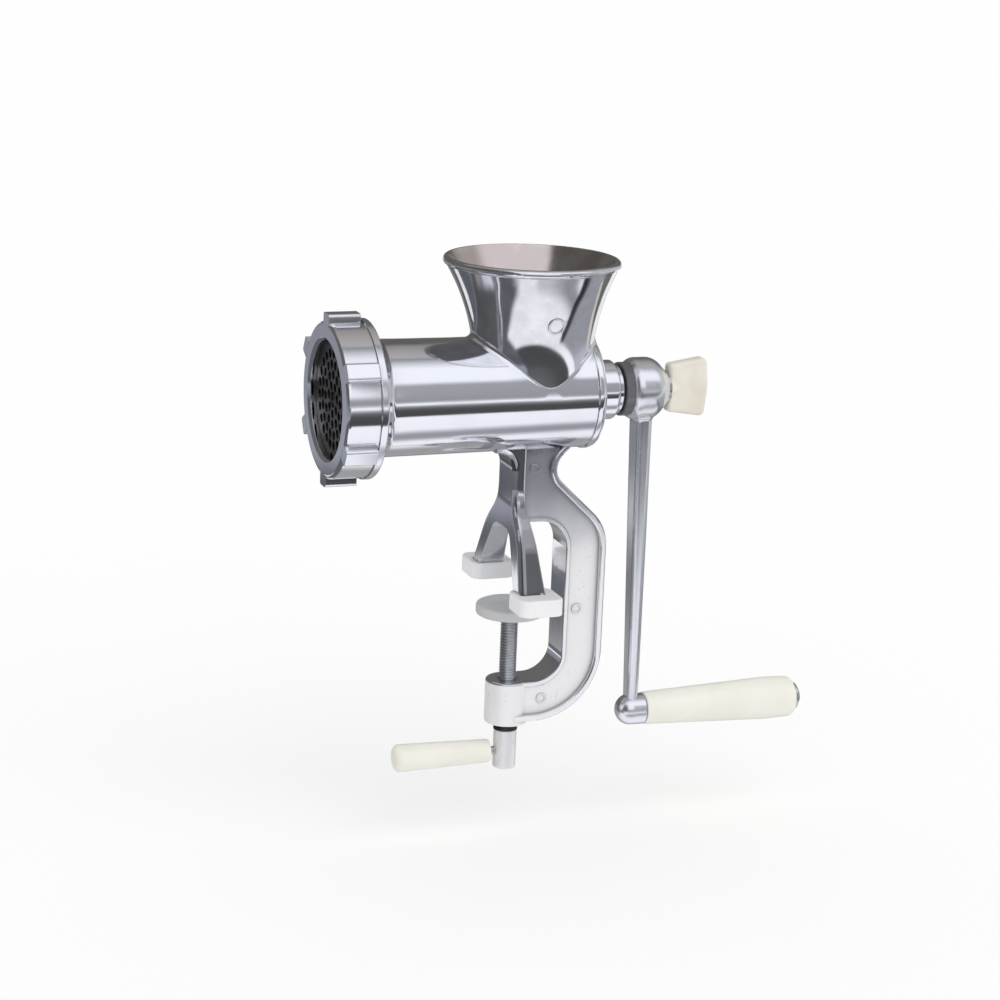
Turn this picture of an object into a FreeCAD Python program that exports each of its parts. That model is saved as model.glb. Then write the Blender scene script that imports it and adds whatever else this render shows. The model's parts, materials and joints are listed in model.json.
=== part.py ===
"""Hand crank meat grinder with a table clamp, as separate pieces.

Millimetres. The origin is where the clamp screw's axis meets the table top, which is the
plane that the foot pads stand on. +Z is up, X runs along the barrel (outlet towards -X,
crank towards +X) and Y runs across the clamp frame.
"""
import FreeCAD, Part
import math
import os

from FreeCAD import Vector

# Clearances
THREAD_CLEARANCE = 0.3
RUNNING_CLEARANCE = 0.05
LOOSE_CLEARANCE = 0.3
SEAT_CLEARANCE = 0.1

# Shared small sizes: overrun of cutting tools, edge rounds, the share taken by a full round,
# and the distance under which two points count as one
OVERRUN = 1.0
SMALL_ROUND = 0.5
FULL_ROUND = 0.97
SAME_POINT = 1e-6

# Barrel, measured from the clamp axis and the table top
AXIS_HEIGHT = 103.0
FRONT_REACH = 100.5
REAR_REACH = 36.0
BARREL_FRONT_RADIUS = 29.0
BARREL_REAR_RADIUS = 28.2
BARREL_BORE_RADIUS = 24.8
COLLAR_RADIUS = 28.9
COLLAR_WIDTH = 4.6
REAR_WALL = 5.0
NECK_RADIUS = 15.0
NECK_LENGTH = 13.5
NECK_STEP_RADIUS = 12.6
NECK_STEP_LENGTH = 2.6
NOSE_EDGE = 0.8
SHOULDER_ROUND = 3.0
COLLAR_STEP = 0.8
COLLAR_ROUND = 2.2
NECK_FILLET = 1.0
NECK_ROUND = 1.6

# Threaded nose of the barrel and the ring nut
NOSE_RADIUS = 34.6
NOSE_SHOULDER = 5.0
RING_WIDTH = 21.0
RING_RADIUS = 38.6
RING_COLLAR_RADIUS = 39.4
RING_COLLAR_WIDTH = 4.0
RING_LIP = 4.2
RING_OPENING_RADIUS = 29.0
RING_EDGE_ROUND = 2.2
RING_COLLAR_ROUND = 1.0
RING_BEVEL = 1.4
LUG_COUNT = 6
LUG_TOP_RADIUS = 42.8
LUG_WIDTH = 9.0
LUG_ROUND = 1.4
LUG_SETBACK = 1.0

# Cutter plate, key pin and knife
PLATE_RADIUS = 31.0
PLATE_THICKNESS = 8.0
PLATE_HOLE_RADIUS = 2.3
PLATE_HOLE_PITCH = 6.0
PLATE_HOLE_RINGS = 4
PLATE_HOLE_MARGIN = 1.7
PLATE_STAND_OUT = 0.8
KEY_PIN_RADIUS = 2.0
KEY_PIN_DEPTH = 4.0
KEY_PIN_PROUD = 6.0
KEY_PIN_OFFSET = 28.6
KNIFE_THICKNESS = 7.0
KNIFE_REACH = 23.6
KNIFE_HUB_RADIUS = 9.5
KNIFE_BLADE_ROOT = 9.0
KNIFE_BLADE_TIP = 5.0
KNIFE_TIP_ROUND = 0.8
KNIFE_BLADES = 4

# Auger with its drive stud and its rear shaft
AUGER_CORE_RADIUS = 10.0
AUGER_TIP_RADIUS = 24.3
AUGER_PITCH = 32.0
FLIGHT_ROOT_THICKNESS = 8.0
FLIGHT_TIP_THICKNESS = 4.0
FLIGHT_SINK = 2.0
FLIGHT_END_ROOM = 3.0
STUD_SQUARE = 10.0
STUD_DEPTH = 18.0
SPIGOT_RADIUS = 4.0
SPIGOT_SHORT = 1.5
SHAFT_RADIUS = 7.5
SHAFT_SQUARE = 11.0
SHAFT_DEPTH = 24.0
SHAFT_SHORT = 3.0
THRUST_WASHER = 2.5
THRUST_WASHER_RADIUS = 18.0
BUSH_WALL = 2.5

# Crank
SPACER_THICKNESS = 4.6
SPACER_RADIUS = 13.6
SPACER_ROUND = 0.8
NECK_TO_SPACER = 1.0
HUB_LENGTH = 20.6
HUB_RADIUS = 15.8
HUB_END_RADIUS = 13.6
HUB_FRONT_ROUND = 1.2
HUB_SWELL_ROUND = 6.0
HUB_DOME_ROUND = 9.0
HUB_SEAT_RADIUS = 9.0
HUB_SEAT_ROUND = 0.6
CRANK_RADIUS = 171.5
ARM_TOP_THICKNESS = 8.6
ARM_TOP_WIDTH = 14.4
ARM_FOOT_THICKNESS = 6.0
ARM_FOOT_WIDTH = 9.4
ARM_LEAN = 2.6
ARM_SETBACK = 1.3
ARM_EDGE_ROUND = 2.8
ARM_ROOT_FILLET = 3.0
ARM_BOSS_RADIUS = 8.1
ARM_BOSS_LENGTH = 14.8

# Thumb screw on the end of the crank hub
THUMB_WASHER = 1.5
THUMB_WASHER_RADIUS = 8.5
THUMB_STUD_RADIUS = 3.0
THUMB_STUD_REACH = 14.0
THUMB_STUD_SINK = 9.0
WING_LENGTH = 22.2
WING_ROOT_HEIGHT = 24.5
WING_TIP_HEIGHT = 30.8
WING_THICKNESS = 8.0
WING_ROOT_ROUND = 2.0
WING_TIP_ROUND = 3.0
WING_BULGE = 1.6
WING_BULGE_ROUND = 40.0
WING_EDGE_ROUND = 2.2
WING_COLLAR_RADIUS = 7.0
WING_COLLAR_LENGTH = 5.0
WING_COLLAR_ROUND = 0.8

# Crank grip and its spindle
GRIP_LENGTH = 86.0
GRIP_ROOT_RADIUS = 8.5
GRIP_SWELL_RADIUS = 11.2
GRIP_SWELL_AT = 70.0
GRIP_SWELL_ROUND = 60.0
GRIP_FRONT_ROUND = 0.8
GRIP_END_TAPER = 0.6
GRIP_END_ROUND = 3.5
SPINDLE_RADIUS = 4.0
SPINDLE_SINK = 12.0
GRIP_WASHER = 1.6
GRIP_WASHER_RADIUS = 7.0
RIVET_HEIGHT = 1.8
RIVET_RADIUS = 5.6

# Feed hopper
HOPPER_RIM_HEIGHT = 66.0
HOPPER_RIM_RADIUS = 43.6
HOPPER_RIM_X = 4.3
HOPPER_NECK_X = 6.3
HOPPER_NECK_HALF_LENGTH = 30.2
HOPPER_NECK_INSET = 0.8
HOPPER_FLARE_START = 17.0
HOPPER_FLARE_POWER = 1.9
HOPPER_SECTIONS = 5
OVAL_POINTS = 16
HOPPER_WALL = 3.2
HOPPER_LIP_RADIUS = 2.1
HOPPER_FOOT_ROUND = 3.0

# Front column, its two legs and the clamp frame
COLUMN_FRONT = 5.2
COLUMN_DEPTH = 6.7
COLUMN_HALF_WIDTH = 12.0
COLUMN_FILLET = 9.0
COLUMN_FILLET_SINK = 0.6
FORK_HEIGHT = 48.0
FORK_ROUND = 20.0
ARCH_DROP = 13.0
ARCH_HALF_WIDTH = 11.0
ARCH_ROUND = 9.0
LEG_SHOULDER_HALF_WIDTH = 25.5
LEG_SHOULDER_DROP = 14.5
LEG_SHOULDER_ROUND = 40.0
LEG_SWEEP_ROUND = 30.0
FOOT_FRONT = 8.5
FOOT_REAR = 5.0
FOOT_INNER = 25.5
FOOT_WIDTH = 11.0
FOOT_OUTER_ROUND = 6.0
FOOT_INNER_ROUND = 4.0
FOOT_SIDE_ROUND = 12.0
LEG_FRONT_ROUND = 3.4
LEG_EDGE_ROUND = 1.5
THROAT_REACH = 25.6
THROAT_TOP = 38.5
THROAT_CORNER = 14.5
BACK_WIDTH = 21.0
BACK_BEND_HEIGHT = 34.5
BACK_BEND_ROUND = 24.0
WAIST_X = 13.5
WAIST_DROP = 37.0
WAIST_ROUND = 10.0
WAIST_SLOPE = 1.1
HEEL_RAISE = 2.4
HEEL_ROUND = 36.0
WEB_HALF_THICKNESS = 9.0
RIM_WIDTH = 3.4
RIM_HALF_THICKNESS = 11.8
RIM_EDGE_ROUND = 1.2
BEAD_WIDTH = 2.4
BEAD_HALF_THICKNESS = 10.0
BEAD_EDGE_ROUND = 0.7

# Clamp boss, clamp screw and pressure pad
BOSS_RADIUS = 11.2
BOSS_TOP = 46.1
BOSS_HEIGHT = 23.0
BOSS_ROUND = 1.2
SCREW_RADIUS = 4.4
CLAMP_GAP = 6.1
PAD_RADIUS = 17.4
PAD_THICKNESS = 5.6
PAD_ROUND = 1.4
PAD_FLOOR = 2.2
PRESSURE_PLATE_RADIUS = 14.0
PRESSURE_PLATE_THICKNESS = 3.2
SCREW_TIP_RADIUS = 3.2
SCREW_TIP_LENGTH = 2.4

# Lever at the foot of the clamp screw
LEVER_WASHER_GAP = 2.0
LEVER_WASHER = 2.0
LEVER_WASHER_RADIUS = 6.2
LEVER_HEAD_RADIUS = 5.9
LEVER_HEAD_LENGTH = 21.0
LEVER_HEAD_FLOOR = 2.0
LEVER_HEAD_ROUND = 1.4
LEVER_DROP = 11.5
LEVER_CORE_RADIUS = 2.0
LEVER_CORE_SINK = 5.2
LEVER_CORE_FREE = 3.0
LEVER_LENGTH = 51.0
LEVER_ROOT_RADIUS = 6.0
LEVER_END_RADIUS = 7.2
LEVER_ROOT_ROUND = 1.0
LEVER_END_ROUND = 3.0
LEVER_BORE_DEPTH = 34.0

# Foot pads
FOOT_PAD_LENGTH = 22.6
FOOT_PAD_WIDTH = 23.0
FOOT_PAD_HEIGHT = 8.5
FOOT_PAD_CORNER = 5.0
FOOT_PAD_EDGE_ROUND = 1.0
FOOT_PAD_FLOOR = 3.0
FOOT_PAD_INNER = 24.0

# Round casting marks on the near side of the casting
MARK_RADIUS = 2.6
MARK_EDGE = 0.7
MARK_PROUD = 0.6
MARK_DISH_DEPTH = 0.4
MARK_SINK = 1.4
MARK_FROM_BOSS = 4.2
HOPPER_MARK_RADIUS = 4.2
HOPPER_MARK_HEIGHT = 39.0

# Places worked out from the sizes above
RING_FRONT = -FRONT_REACH
RING_REAR = RING_FRONT + RING_WIDTH
PLATE_FRONT = RING_FRONT + RING_LIP
PLATE_REAR = PLATE_FRONT + PLATE_THICKNESS
NOSE_FRONT = PLATE_FRONT + PLATE_STAND_OUT
NOSE_FLOOR = PLATE_REAR + SEAT_CLEARANCE
KNIFE_FRONT = PLATE_REAR + SEAT_CLEARANCE
AUGER_FRONT = KNIFE_FRONT + KNIFE_THICKNESS
WALL_INSIDE = REAR_REACH - REAR_WALL
THRUST_REAR = WALL_INSIDE - SEAT_CLEARANCE
AUGER_REAR = THRUST_REAR - THRUST_WASHER
NECK_SHOULDER = REAR_REACH + NECK_LENGTH
NECK_END = NECK_SHOULDER + NECK_STEP_LENGTH
SPACER_FRONT = NECK_END + NECK_TO_SPACER
HUB_FRONT = SPACER_FRONT + SPACER_THICKNESS
HUB_REAR = HUB_FRONT + HUB_LENGTH
ARM_TOP_X = HUB_FRONT + HUB_LENGTH / 2.0 - ARM_SETBACK
ARM_FOOT_X = ARM_TOP_X + ARM_LEAN
BUSH_BORE_RADIUS = SHAFT_RADIUS + RUNNING_CLEARANCE
BUSH_RADIUS = BUSH_BORE_RADIUS + BUSH_WALL
SHAFT_REAR = HUB_REAR - SHAFT_SHORT
WING_FRONT = HUB_REAR + THUMB_WASHER
GRIP_AXIS_HEIGHT = AXIS_HEIGHT - CRANK_RADIUS
ARM_BOSS_FRONT = ARM_FOOT_X - ARM_BOSS_RADIUS
ARM_BOSS_REAR = ARM_BOSS_FRONT + ARM_BOSS_LENGTH
GRIP_FRONT = ARM_BOSS_REAR + LOOSE_CLEARANCE
GRIP_REAR = GRIP_FRONT + GRIP_LENGTH
HOPPER_RIM_Z = AXIS_HEIGHT + HOPPER_RIM_HEIGHT
HOPPER_NECK_HALF_WIDTH = BARREL_REAR_RADIUS - HOPPER_NECK_INSET
ARCH_HEIGHT = FORK_HEIGHT - ARCH_DROP
LEG_SHOULDER_HEIGHT = FORK_HEIGHT - LEG_SHOULDER_DROP
WAIST_HEIGHT = AXIS_HEIGHT - WAIST_DROP
BOSS_FOOT = -BOSS_TOP - BOSS_HEIGHT
PAD_TOP = -CLAMP_GAP
PAD_FOOT = PAD_TOP - PAD_THICKNESS
PRESSURE_PLATE_TOP = PAD_TOP - PAD_FLOOR
PRESSURE_PLATE_FOOT = PRESSURE_PLATE_TOP - PRESSURE_PLATE_THICKNESS
LEVER_WASHER_TOP = BOSS_FOOT - LEVER_WASHER_GAP
LEVER_HEAD_TOP = LEVER_WASHER_TOP - LEVER_WASHER
LEVER_HEAD_FOOT = LEVER_HEAD_TOP - LEVER_HEAD_LENGTH
SCREW_FOOT = LEVER_HEAD_FOOT + LEVER_HEAD_FLOOR
LEVER_AXIS_Z = LEVER_HEAD_TOP - LEVER_DROP
LEVER_FRONT = -(LEVER_HEAD_RADIUS + LEVER_CORE_FREE)
BACK_X = THROAT_REACH + BACK_WIDTH
HEEL_Z = BOSS_FOOT + HEEL_RAISE

AXIS_POINT = Vector(0, 0, AXIS_HEIGHT)
ALONG_X = Vector(1, 0, 0)
ALONG_Y = Vector(0, 1, 0)
UP = Vector(0, 0, 1)


def rounded_wire(corners, place):
    """Closed wire of straight runs with tangent arcs at its corners.

    Each corner is (u, v, radius), and place turns (u, v) into a point in space.
    """
    count = len(corners)
    points = [Vector(corner[0], corner[1], 0) for corner in corners]
    spans = []
    for index in range(count):
        here = points[index]
        back = points[index - 1] - here
        ahead = points[(index + 1) % count] - here
        radius = corners[index][2]
        if radius <= 0:
            spans.append((here, None, here))
            continue
        back.normalize()
        ahead.normalize()
        half = math.acos(max(-1.0, min(1.0, back.dot(ahead)))) / 2.0
        setback = radius / math.tan(half)
        middle = back + ahead
        middle.normalize()
        nearest = here + middle * (radius / math.sin(half) - radius)
        spans.append((here + back * setback, nearest, here + ahead * setback))
    edges = []
    for index in range(count):
        start = spans[index - 1][2]
        entry, nearest, leave = spans[index]
        if start.distanceToPoint(entry) > SAME_POINT:
            edges.append(Part.LineSegment(place(start.x, start.y), place(entry.x, entry.y)).toShape())
        if nearest is not None:
            arc = Part.Arc(place(entry.x, entry.y), place(nearest.x, nearest.y), place(leave.x, leave.y))
            edges.append(arc.toShape())
    return Part.Wire(edges)


def in_side_plane(u, v):
    """Point of an outline drawn in the XZ plane."""
    return Vector(u, 0, v)


def in_front_plane(u, v):
    """Point of an outline drawn in the YZ plane."""
    return Vector(0, u, v)


def in_top_plane(u, v):
    """Point of an outline drawn in the XY plane."""
    return Vector(u, v, 0)


def side_prism(corners, half_thickness):
    """Solid from an XZ outline, the same thickness each way from Y = 0."""
    face = Part.Face(rounded_wire(corners, in_side_plane))
    face.translate(ALONG_Y * -half_thickness)
    return face.extrude(ALONG_Y * (2.0 * half_thickness))


def front_prism(corners, start_x, end_x):
    """Solid from a YZ outline between two places along X."""
    face = Part.Face(rounded_wire(corners, in_front_plane))
    face.translate(ALONG_X * start_x)
    return face.extrude(ALONG_X * (end_x - start_x))


def outline_edges(prism, half_thickness):
    """Edges of a side prism that lie in its two flat faces."""
    chosen = []
    for edge in prism.Edges:
        box = edge.BoundBox
        in_flat_face = abs(abs(box.YMin) - half_thickness) < SAME_POINT
        if in_flat_face and box.YLength < SAME_POINT:
            chosen.append(edge)
    return chosen


def top_prism(corners, start_z, end_z):
    """Solid from an XY outline between two heights."""
    face = Part.Face(rounded_wire(corners, in_top_plane))
    face.translate(UP * start_z)
    return face.extrude(UP * (end_z - start_z))


def turned_about_x(corners, axis_height):
    """Solid of revolution from (x, radius, corner radius) about a line along X."""
    face = Part.Face(rounded_wire(corners, lambda x, radius: Vector(x, 0, axis_height + radius)))
    return face.revolve(Vector(0, 0, axis_height), ALONG_X, 360)


def turned_about_z(corners):
    """Solid of revolution from (radius, z, corner radius) about the Z axis."""
    face = Part.Face(rounded_wire(corners, in_side_plane))
    return face.revolve(Vector(0, 0, 0), UP, 360)


def rod_along_x(start_x, end_x, radius, axis_height):
    """Plain round bar along X."""
    return Part.makeCylinder(radius, end_x - start_x, Vector(start_x, 0, axis_height), ALONG_X)


def ring_along_x(start_x, end_x, radius, bore_radius, axis_height):
    """Round bar along X with a hole right through it."""
    bar = rod_along_x(start_x, end_x, radius, axis_height)
    return bar.cut(rod_along_x(start_x - OVERRUN, end_x + OVERRUN, bore_radius, axis_height))


def square_bar(start_x, end_x, side, axis_height):
    """Square bar along X."""
    corner = Vector(start_x, -side / 2.0, axis_height - side / 2.0)
    return Part.makeBox(end_x - start_x, side, side, corner)


def rectangle(half_u, half_v, radius, centre_u=0.0, centre_v=0.0):
    """Corners of a rounded rectangle for the prism functions."""
    return [
        (centre_u - half_u, centre_v - half_v, radius),
        (centre_u + half_u, centre_v - half_v, radius),
        (centre_u + half_u, centre_v + half_v, radius),
        (centre_u - half_u, centre_v + half_v, radius),
    ]


def oval_wire(centre, half_x, half_y):
    """Level oval about a centre point, as one smooth closed curve."""
    points = []
    for index in range(OVAL_POINTS):
        angle = 2.0 * math.pi * index / OVAL_POINTS
        points.append(centre + Vector(half_x * math.cos(angle), half_y * math.sin(angle), 0))
    curve = Part.BSplineCurve()
    curve.interpolate(points, True)
    return Part.Wire([curve.toShape()])


def hopper_form(inset, top_z):
    """Trumpet of the feed hopper, drawn in by a wall, from the barrel axis up to top_z."""
    flare_start_z = AXIS_HEIGHT + HOPPER_FLARE_START
    sections = []
    heights = [AXIS_HEIGHT, AXIS_HEIGHT + HOPPER_FLARE_START / 2.0]
    for step in range(HOPPER_SECTIONS + 1):
        heights.append(flare_start_z + (top_z - flare_start_z) * step / HOPPER_SECTIONS)
    for height in heights:
        rise = max(0.0, height - flare_start_z) / (HOPPER_RIM_Z - flare_start_z)
        flare = rise ** HOPPER_FLARE_POWER
        half_x = HOPPER_NECK_HALF_LENGTH + (HOPPER_RIM_RADIUS - HOPPER_NECK_HALF_LENGTH) * flare
        half_y = HOPPER_NECK_HALF_WIDTH + (HOPPER_RIM_RADIUS - HOPPER_NECK_HALF_WIDTH) * flare
        centre_x = HOPPER_NECK_X + (HOPPER_RIM_X - HOPPER_NECK_X) * flare
        sections.append(oval_wire(Vector(centre_x, 0, height), half_x - inset, half_y - inset))
    return Part.makeLoft(sections, True, False)


def hopper_lip():
    """Rounded bead round the hopper's rim."""
    bead_radius = HOPPER_RIM_RADIUS - HOPPER_WALL / 2.0
    return Part.makeTorus(bead_radius, HOPPER_LIP_RADIUS, Vector(HOPPER_RIM_X, 0, HOPPER_RIM_Z), UP)


def barrel_form():
    """Outside of the threaded nose and the tapered barrel."""
    shoulder_x = RING_REAR + NOSE_SHOULDER
    collar_front = REAR_REACH - COLLAR_WIDTH
    taper = (BARREL_FRONT_RADIUS - BARREL_REAR_RADIUS) / (collar_front - shoulder_x)
    rear_radius = BARREL_REAR_RADIUS - taper * COLLAR_WIDTH
    return turned_about_x([
        (NOSE_FRONT, 0, 0),
        (NOSE_FRONT, NOSE_RADIUS, NOSE_EDGE),
        (RING_REAR, NOSE_RADIUS, SMALL_ROUND),
        (shoulder_x, BARREL_FRONT_RADIUS, SHOULDER_ROUND),
        (REAR_REACH, rear_radius, 0),
        (REAR_REACH, 0, 0),
    ], AXIS_HEIGHT)


def collar_and_neck():
    """Outside of the barrel's rear collar and of the neck behind it."""
    collar_front = REAR_REACH - COLLAR_WIDTH
    return turned_about_x([
        (collar_front, 0, 0),
        (collar_front, BARREL_REAR_RADIUS - SMALL_ROUND, 0),
        (collar_front + COLLAR_STEP, COLLAR_RADIUS, SMALL_ROUND),
        (REAR_REACH, COLLAR_RADIUS, COLLAR_ROUND),
        (REAR_REACH, NECK_RADIUS, NECK_FILLET),
        (NECK_SHOULDER, NECK_RADIUS, NECK_ROUND),
        (NECK_SHOULDER, NECK_STEP_RADIUS, 0),
        (NECK_END, NECK_STEP_RADIUS, SMALL_ROUND),
        (NECK_END, 0, 0),
    ], AXIS_HEIGHT)


def barrel_with_hopper():
    """Barrel and feed hopper, with a fillet round the hopper's foot."""
    joined = barrel_form().fuse(hopper_form(0.0, HOPPER_RIM_Z))
    foot_edges = []
    for edge in joined.Edges:
        box = edge.BoundBox
        if box.ZMin > AXIS_HEIGHT + OVERRUN and box.ZMax < HOPPER_RIM_Z and box.YLength > OVERRUN:
            foot_edges.append(edge)
    joined = joined.makeFillet(HOPPER_FOOT_ROUND, foot_edges)
    return joined.fuse(collar_and_neck()).fuse(hopper_lip())


def leg_edges(legs, in_front):
    """Outer edges of the column and its legs, above the foot pads, at the front or at the back."""
    chosen = []
    for edge in legs.Edges:
        box = edge.BoundBox
        spread = max(abs(box.YMin), abs(box.YMax))
        outer = spread > FOOT_INNER + SAME_POINT or box.ZMax > ARCH_HEIGHT + SAME_POINT
        upright = box.ZMin > FOOT_PAD_HEIGHT and box.ZLength > box.XLength
        if outer and upright and (box.XMax < 0) == in_front:
            chosen.append(edge)
    return chosen


def column_form():
    """Front column, forked into two legs, as seen from the front and from the side."""
    foot_outer = FOOT_INNER + FOOT_WIDTH
    above = AXIS_HEIGHT - BARREL_BORE_RADIUS
    front_view = [
        (COLUMN_HALF_WIDTH, above, 0),
        (COLUMN_HALF_WIDTH, FORK_HEIGHT, FORK_ROUND),
        (LEG_SHOULDER_HALF_WIDTH, LEG_SHOULDER_HEIGHT, LEG_SHOULDER_ROUND),
        (foot_outer, FOOT_PAD_HEIGHT, FOOT_OUTER_ROUND),
        (foot_outer, FOOT_PAD_FLOOR, 0),
        (FOOT_INNER, FOOT_PAD_FLOOR, 0),
        (FOOT_INNER, FOOT_PAD_HEIGHT, FOOT_INNER_ROUND),
        (ARCH_HALF_WIDTH, ARCH_HEIGHT, ARCH_ROUND),
    ]
    mirrored = [(-u, v, radius) for u, v, radius in reversed(front_view)]
    side_view = [
        (-COLUMN_FRONT, above, 0),
        (-COLUMN_FRONT, FORK_HEIGHT, LEG_SWEEP_ROUND),
        (-FOOT_FRONT, FOOT_PAD_HEIGHT, FOOT_SIDE_ROUND),
        (-FOOT_FRONT, FOOT_PAD_FLOOR, 0),
        (FOOT_REAR, FOOT_PAD_FLOOR, 0),
        (FOOT_REAR, FOOT_PAD_HEIGHT, FOOT_SIDE_ROUND),
        (COLUMN_DEPTH - COLUMN_FRONT, FORK_HEIGHT, LEG_SWEEP_ROUND),
        (COLUMN_DEPTH - COLUMN_FRONT, above, 0),
    ]
    fork = front_prism(front_view + mirrored, -FOOT_FRONT - OVERRUN, FOOT_REAR + OVERRUN)
    legs = fork.common(side_prism(side_view, foot_outer + OVERRUN))
    legs = legs.makeFillet(LEG_FRONT_ROUND, leg_edges(legs, True))
    legs = legs.makeFillet(LEG_EDGE_ROUND, leg_edges(legs, False))
    fillet_top = AXIS_HEIGHT - BARREL_FRONT_RADIUS + COLUMN_FILLET_SINK
    fillet_front = -COLUMN_FRONT - COLUMN_FILLET - SEAT_CLEARANCE
    flare = side_prism([
        (-COLUMN_FRONT, FORK_HEIGHT, 0),
        (-COLUMN_FRONT, fillet_top, COLUMN_FILLET),
        (fillet_front, fillet_top, 0),
        (fillet_front, AXIS_HEIGHT, 0),
        (0, AXIS_HEIGHT, 0),
        (0, FORK_HEIGHT, 0),
    ], COLUMN_HALF_WIDTH)
    front_edges = []
    for edge in outline_edges(flare, COLUMN_HALF_WIDTH):
        box = edge.BoundBox
        if box.XMax < SAME_POINT - COLUMN_FRONT and box.ZMax < fillet_top + SAME_POINT:
            front_edges.append(edge)
    flare = flare.makeFillet(LEG_FRONT_ROUND, front_edges)
    return legs.fuse(flare)


def frame_outline(inset, front_x, top_z):
    """Outer edge of the clamp frame, moved in by an inset, closed off at the front and the top."""
    lean = math.atan2(WAIST_HEIGHT - BACK_BEND_HEIGHT, BACK_X - WAIST_X)
    bend_drop = inset * math.tan((math.pi / 2.0 - lean) / 2.0)
    waist_shift = inset * math.sqrt(2.0)
    top_run = top_z - WAIST_HEIGHT
    return [
        (front_x, top_z, 0),
        (WAIST_X - waist_shift + top_run * WAIST_SLOPE, top_z, 0),
        (WAIST_X - waist_shift, WAIST_HEIGHT, WAIST_ROUND + inset),
        (BACK_X - inset, BACK_BEND_HEIGHT - bend_drop, BACK_BEND_ROUND - inset),
        (BACK_X - inset, HEEL_Z + inset, HEEL_ROUND - inset),
        (front_x, HEEL_Z + inset, 0),
    ]


def throat_outline(outset, front_x):
    """Edge of the clamp throat, moved outwards, closed off at the front."""
    foot_z = -BOSS_TOP - outset
    return [
        (front_x, THROAT_TOP + outset, 0),
        (THROAT_REACH + outset, THROAT_TOP + outset, THROAT_CORNER + outset),
        (THROAT_REACH + outset, foot_z, THROAT_CORNER + outset),
        (front_x, foot_z, 0),
    ]


def clamp_frame_form():
    """C-shaped frame: web, raised outer rim, bead along the throat and the clamp boss."""
    above = AXIS_HEIGHT - BARREL_BORE_RADIUS
    ahead = -BOSS_RADIUS - OVERRUN
    throat = side_prism(throat_outline(0.0, ahead), RIM_HALF_THICKNESS + OVERRUN)
    web = side_prism(frame_outline(0.0, 0.0, above), WEB_HALF_THICKNESS).cut(throat)
    rim = side_prism(frame_outline(0.0, 0.0, above), RIM_HALF_THICKNESS)
    inside = side_prism(frame_outline(RIM_WIDTH, ahead, above + OVERRUN), RIM_HALF_THICKNESS + OVERRUN)
    rim = rim.cut(inside)
    rim = rim.makeFillet(RIM_EDGE_ROUND, outline_edges(rim, RIM_HALF_THICKNESS))
    bead = side_prism(throat_outline(BEAD_WIDTH, 0.0), BEAD_HALF_THICKNESS).cut(throat)
    bead = bead.makeFillet(BEAD_EDGE_ROUND, outline_edges(bead, BEAD_HALF_THICKNESS))
    frame = web.fuse(rim).fuse(bead)
    boss = turned_about_z([
        (0, BOSS_FOOT, 0),
        (BOSS_RADIUS, BOSS_FOOT, BOSS_ROUND),
        (BOSS_RADIUS, -BOSS_TOP, BOSS_ROUND),
        (0, -BOSS_TOP, 0),
    ])
    return frame.fuse(boss)


def casting_mark(point, outward, radius):
    """Round mark that stands a little proud of the casting, with a shallow dish in its top."""
    pad = Part.makeCylinder(radius, MARK_SINK + MARK_PROUD, point - outward * MARK_SINK, outward)
    dish = Part.makeCylinder(radius - MARK_EDGE, MARK_DISH_DEPTH + OVERRUN,
                             point + outward * (MARK_PROUD - MARK_DISH_DEPTH), outward)
    return pad.cut(dish)


def casting_marks():
    """All the round marks on the near side of the casting."""
    web_y = -WEB_HALF_THICKNESS
    toward_viewer = Vector(0, -1, 0)
    places = [
        Vector(WAIST_X / 2.0, web_y, WAIST_HEIGHT),
        Vector(THROAT_REACH + BACK_WIDTH / 3.0, web_y, -FOOT_PAD_HEIGHT),
        Vector(BOSS_RADIUS + MARK_FROM_BOSS, web_y, HEEL_Z + BOSS_HEIGHT / 2.0),
    ]
    marks = [casting_mark(place, toward_viewer, MARK_RADIUS) for place in places]
    rise = (HOPPER_MARK_HEIGHT - HOPPER_FLARE_START) / (HOPPER_RIM_HEIGHT - HOPPER_FLARE_START)
    spread = HOPPER_RIM_RADIUS - HOPPER_NECK_HALF_WIDTH
    face_y = HOPPER_NECK_HALF_WIDTH + spread * rise ** HOPPER_FLARE_POWER
    slope = (spread * HOPPER_FLARE_POWER * rise ** (HOPPER_FLARE_POWER - 1.0)
             / (HOPPER_RIM_HEIGHT - HOPPER_FLARE_START))
    outward = Vector(0, -1, -slope)
    outward.normalize()
    hopper_point = Vector(HOPPER_NECK_X, -face_y, AXIS_HEIGHT + HOPPER_MARK_HEIGHT)
    marks.append(casting_mark(hopper_point, outward, HOPPER_MARK_RADIUS))
    return marks


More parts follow.
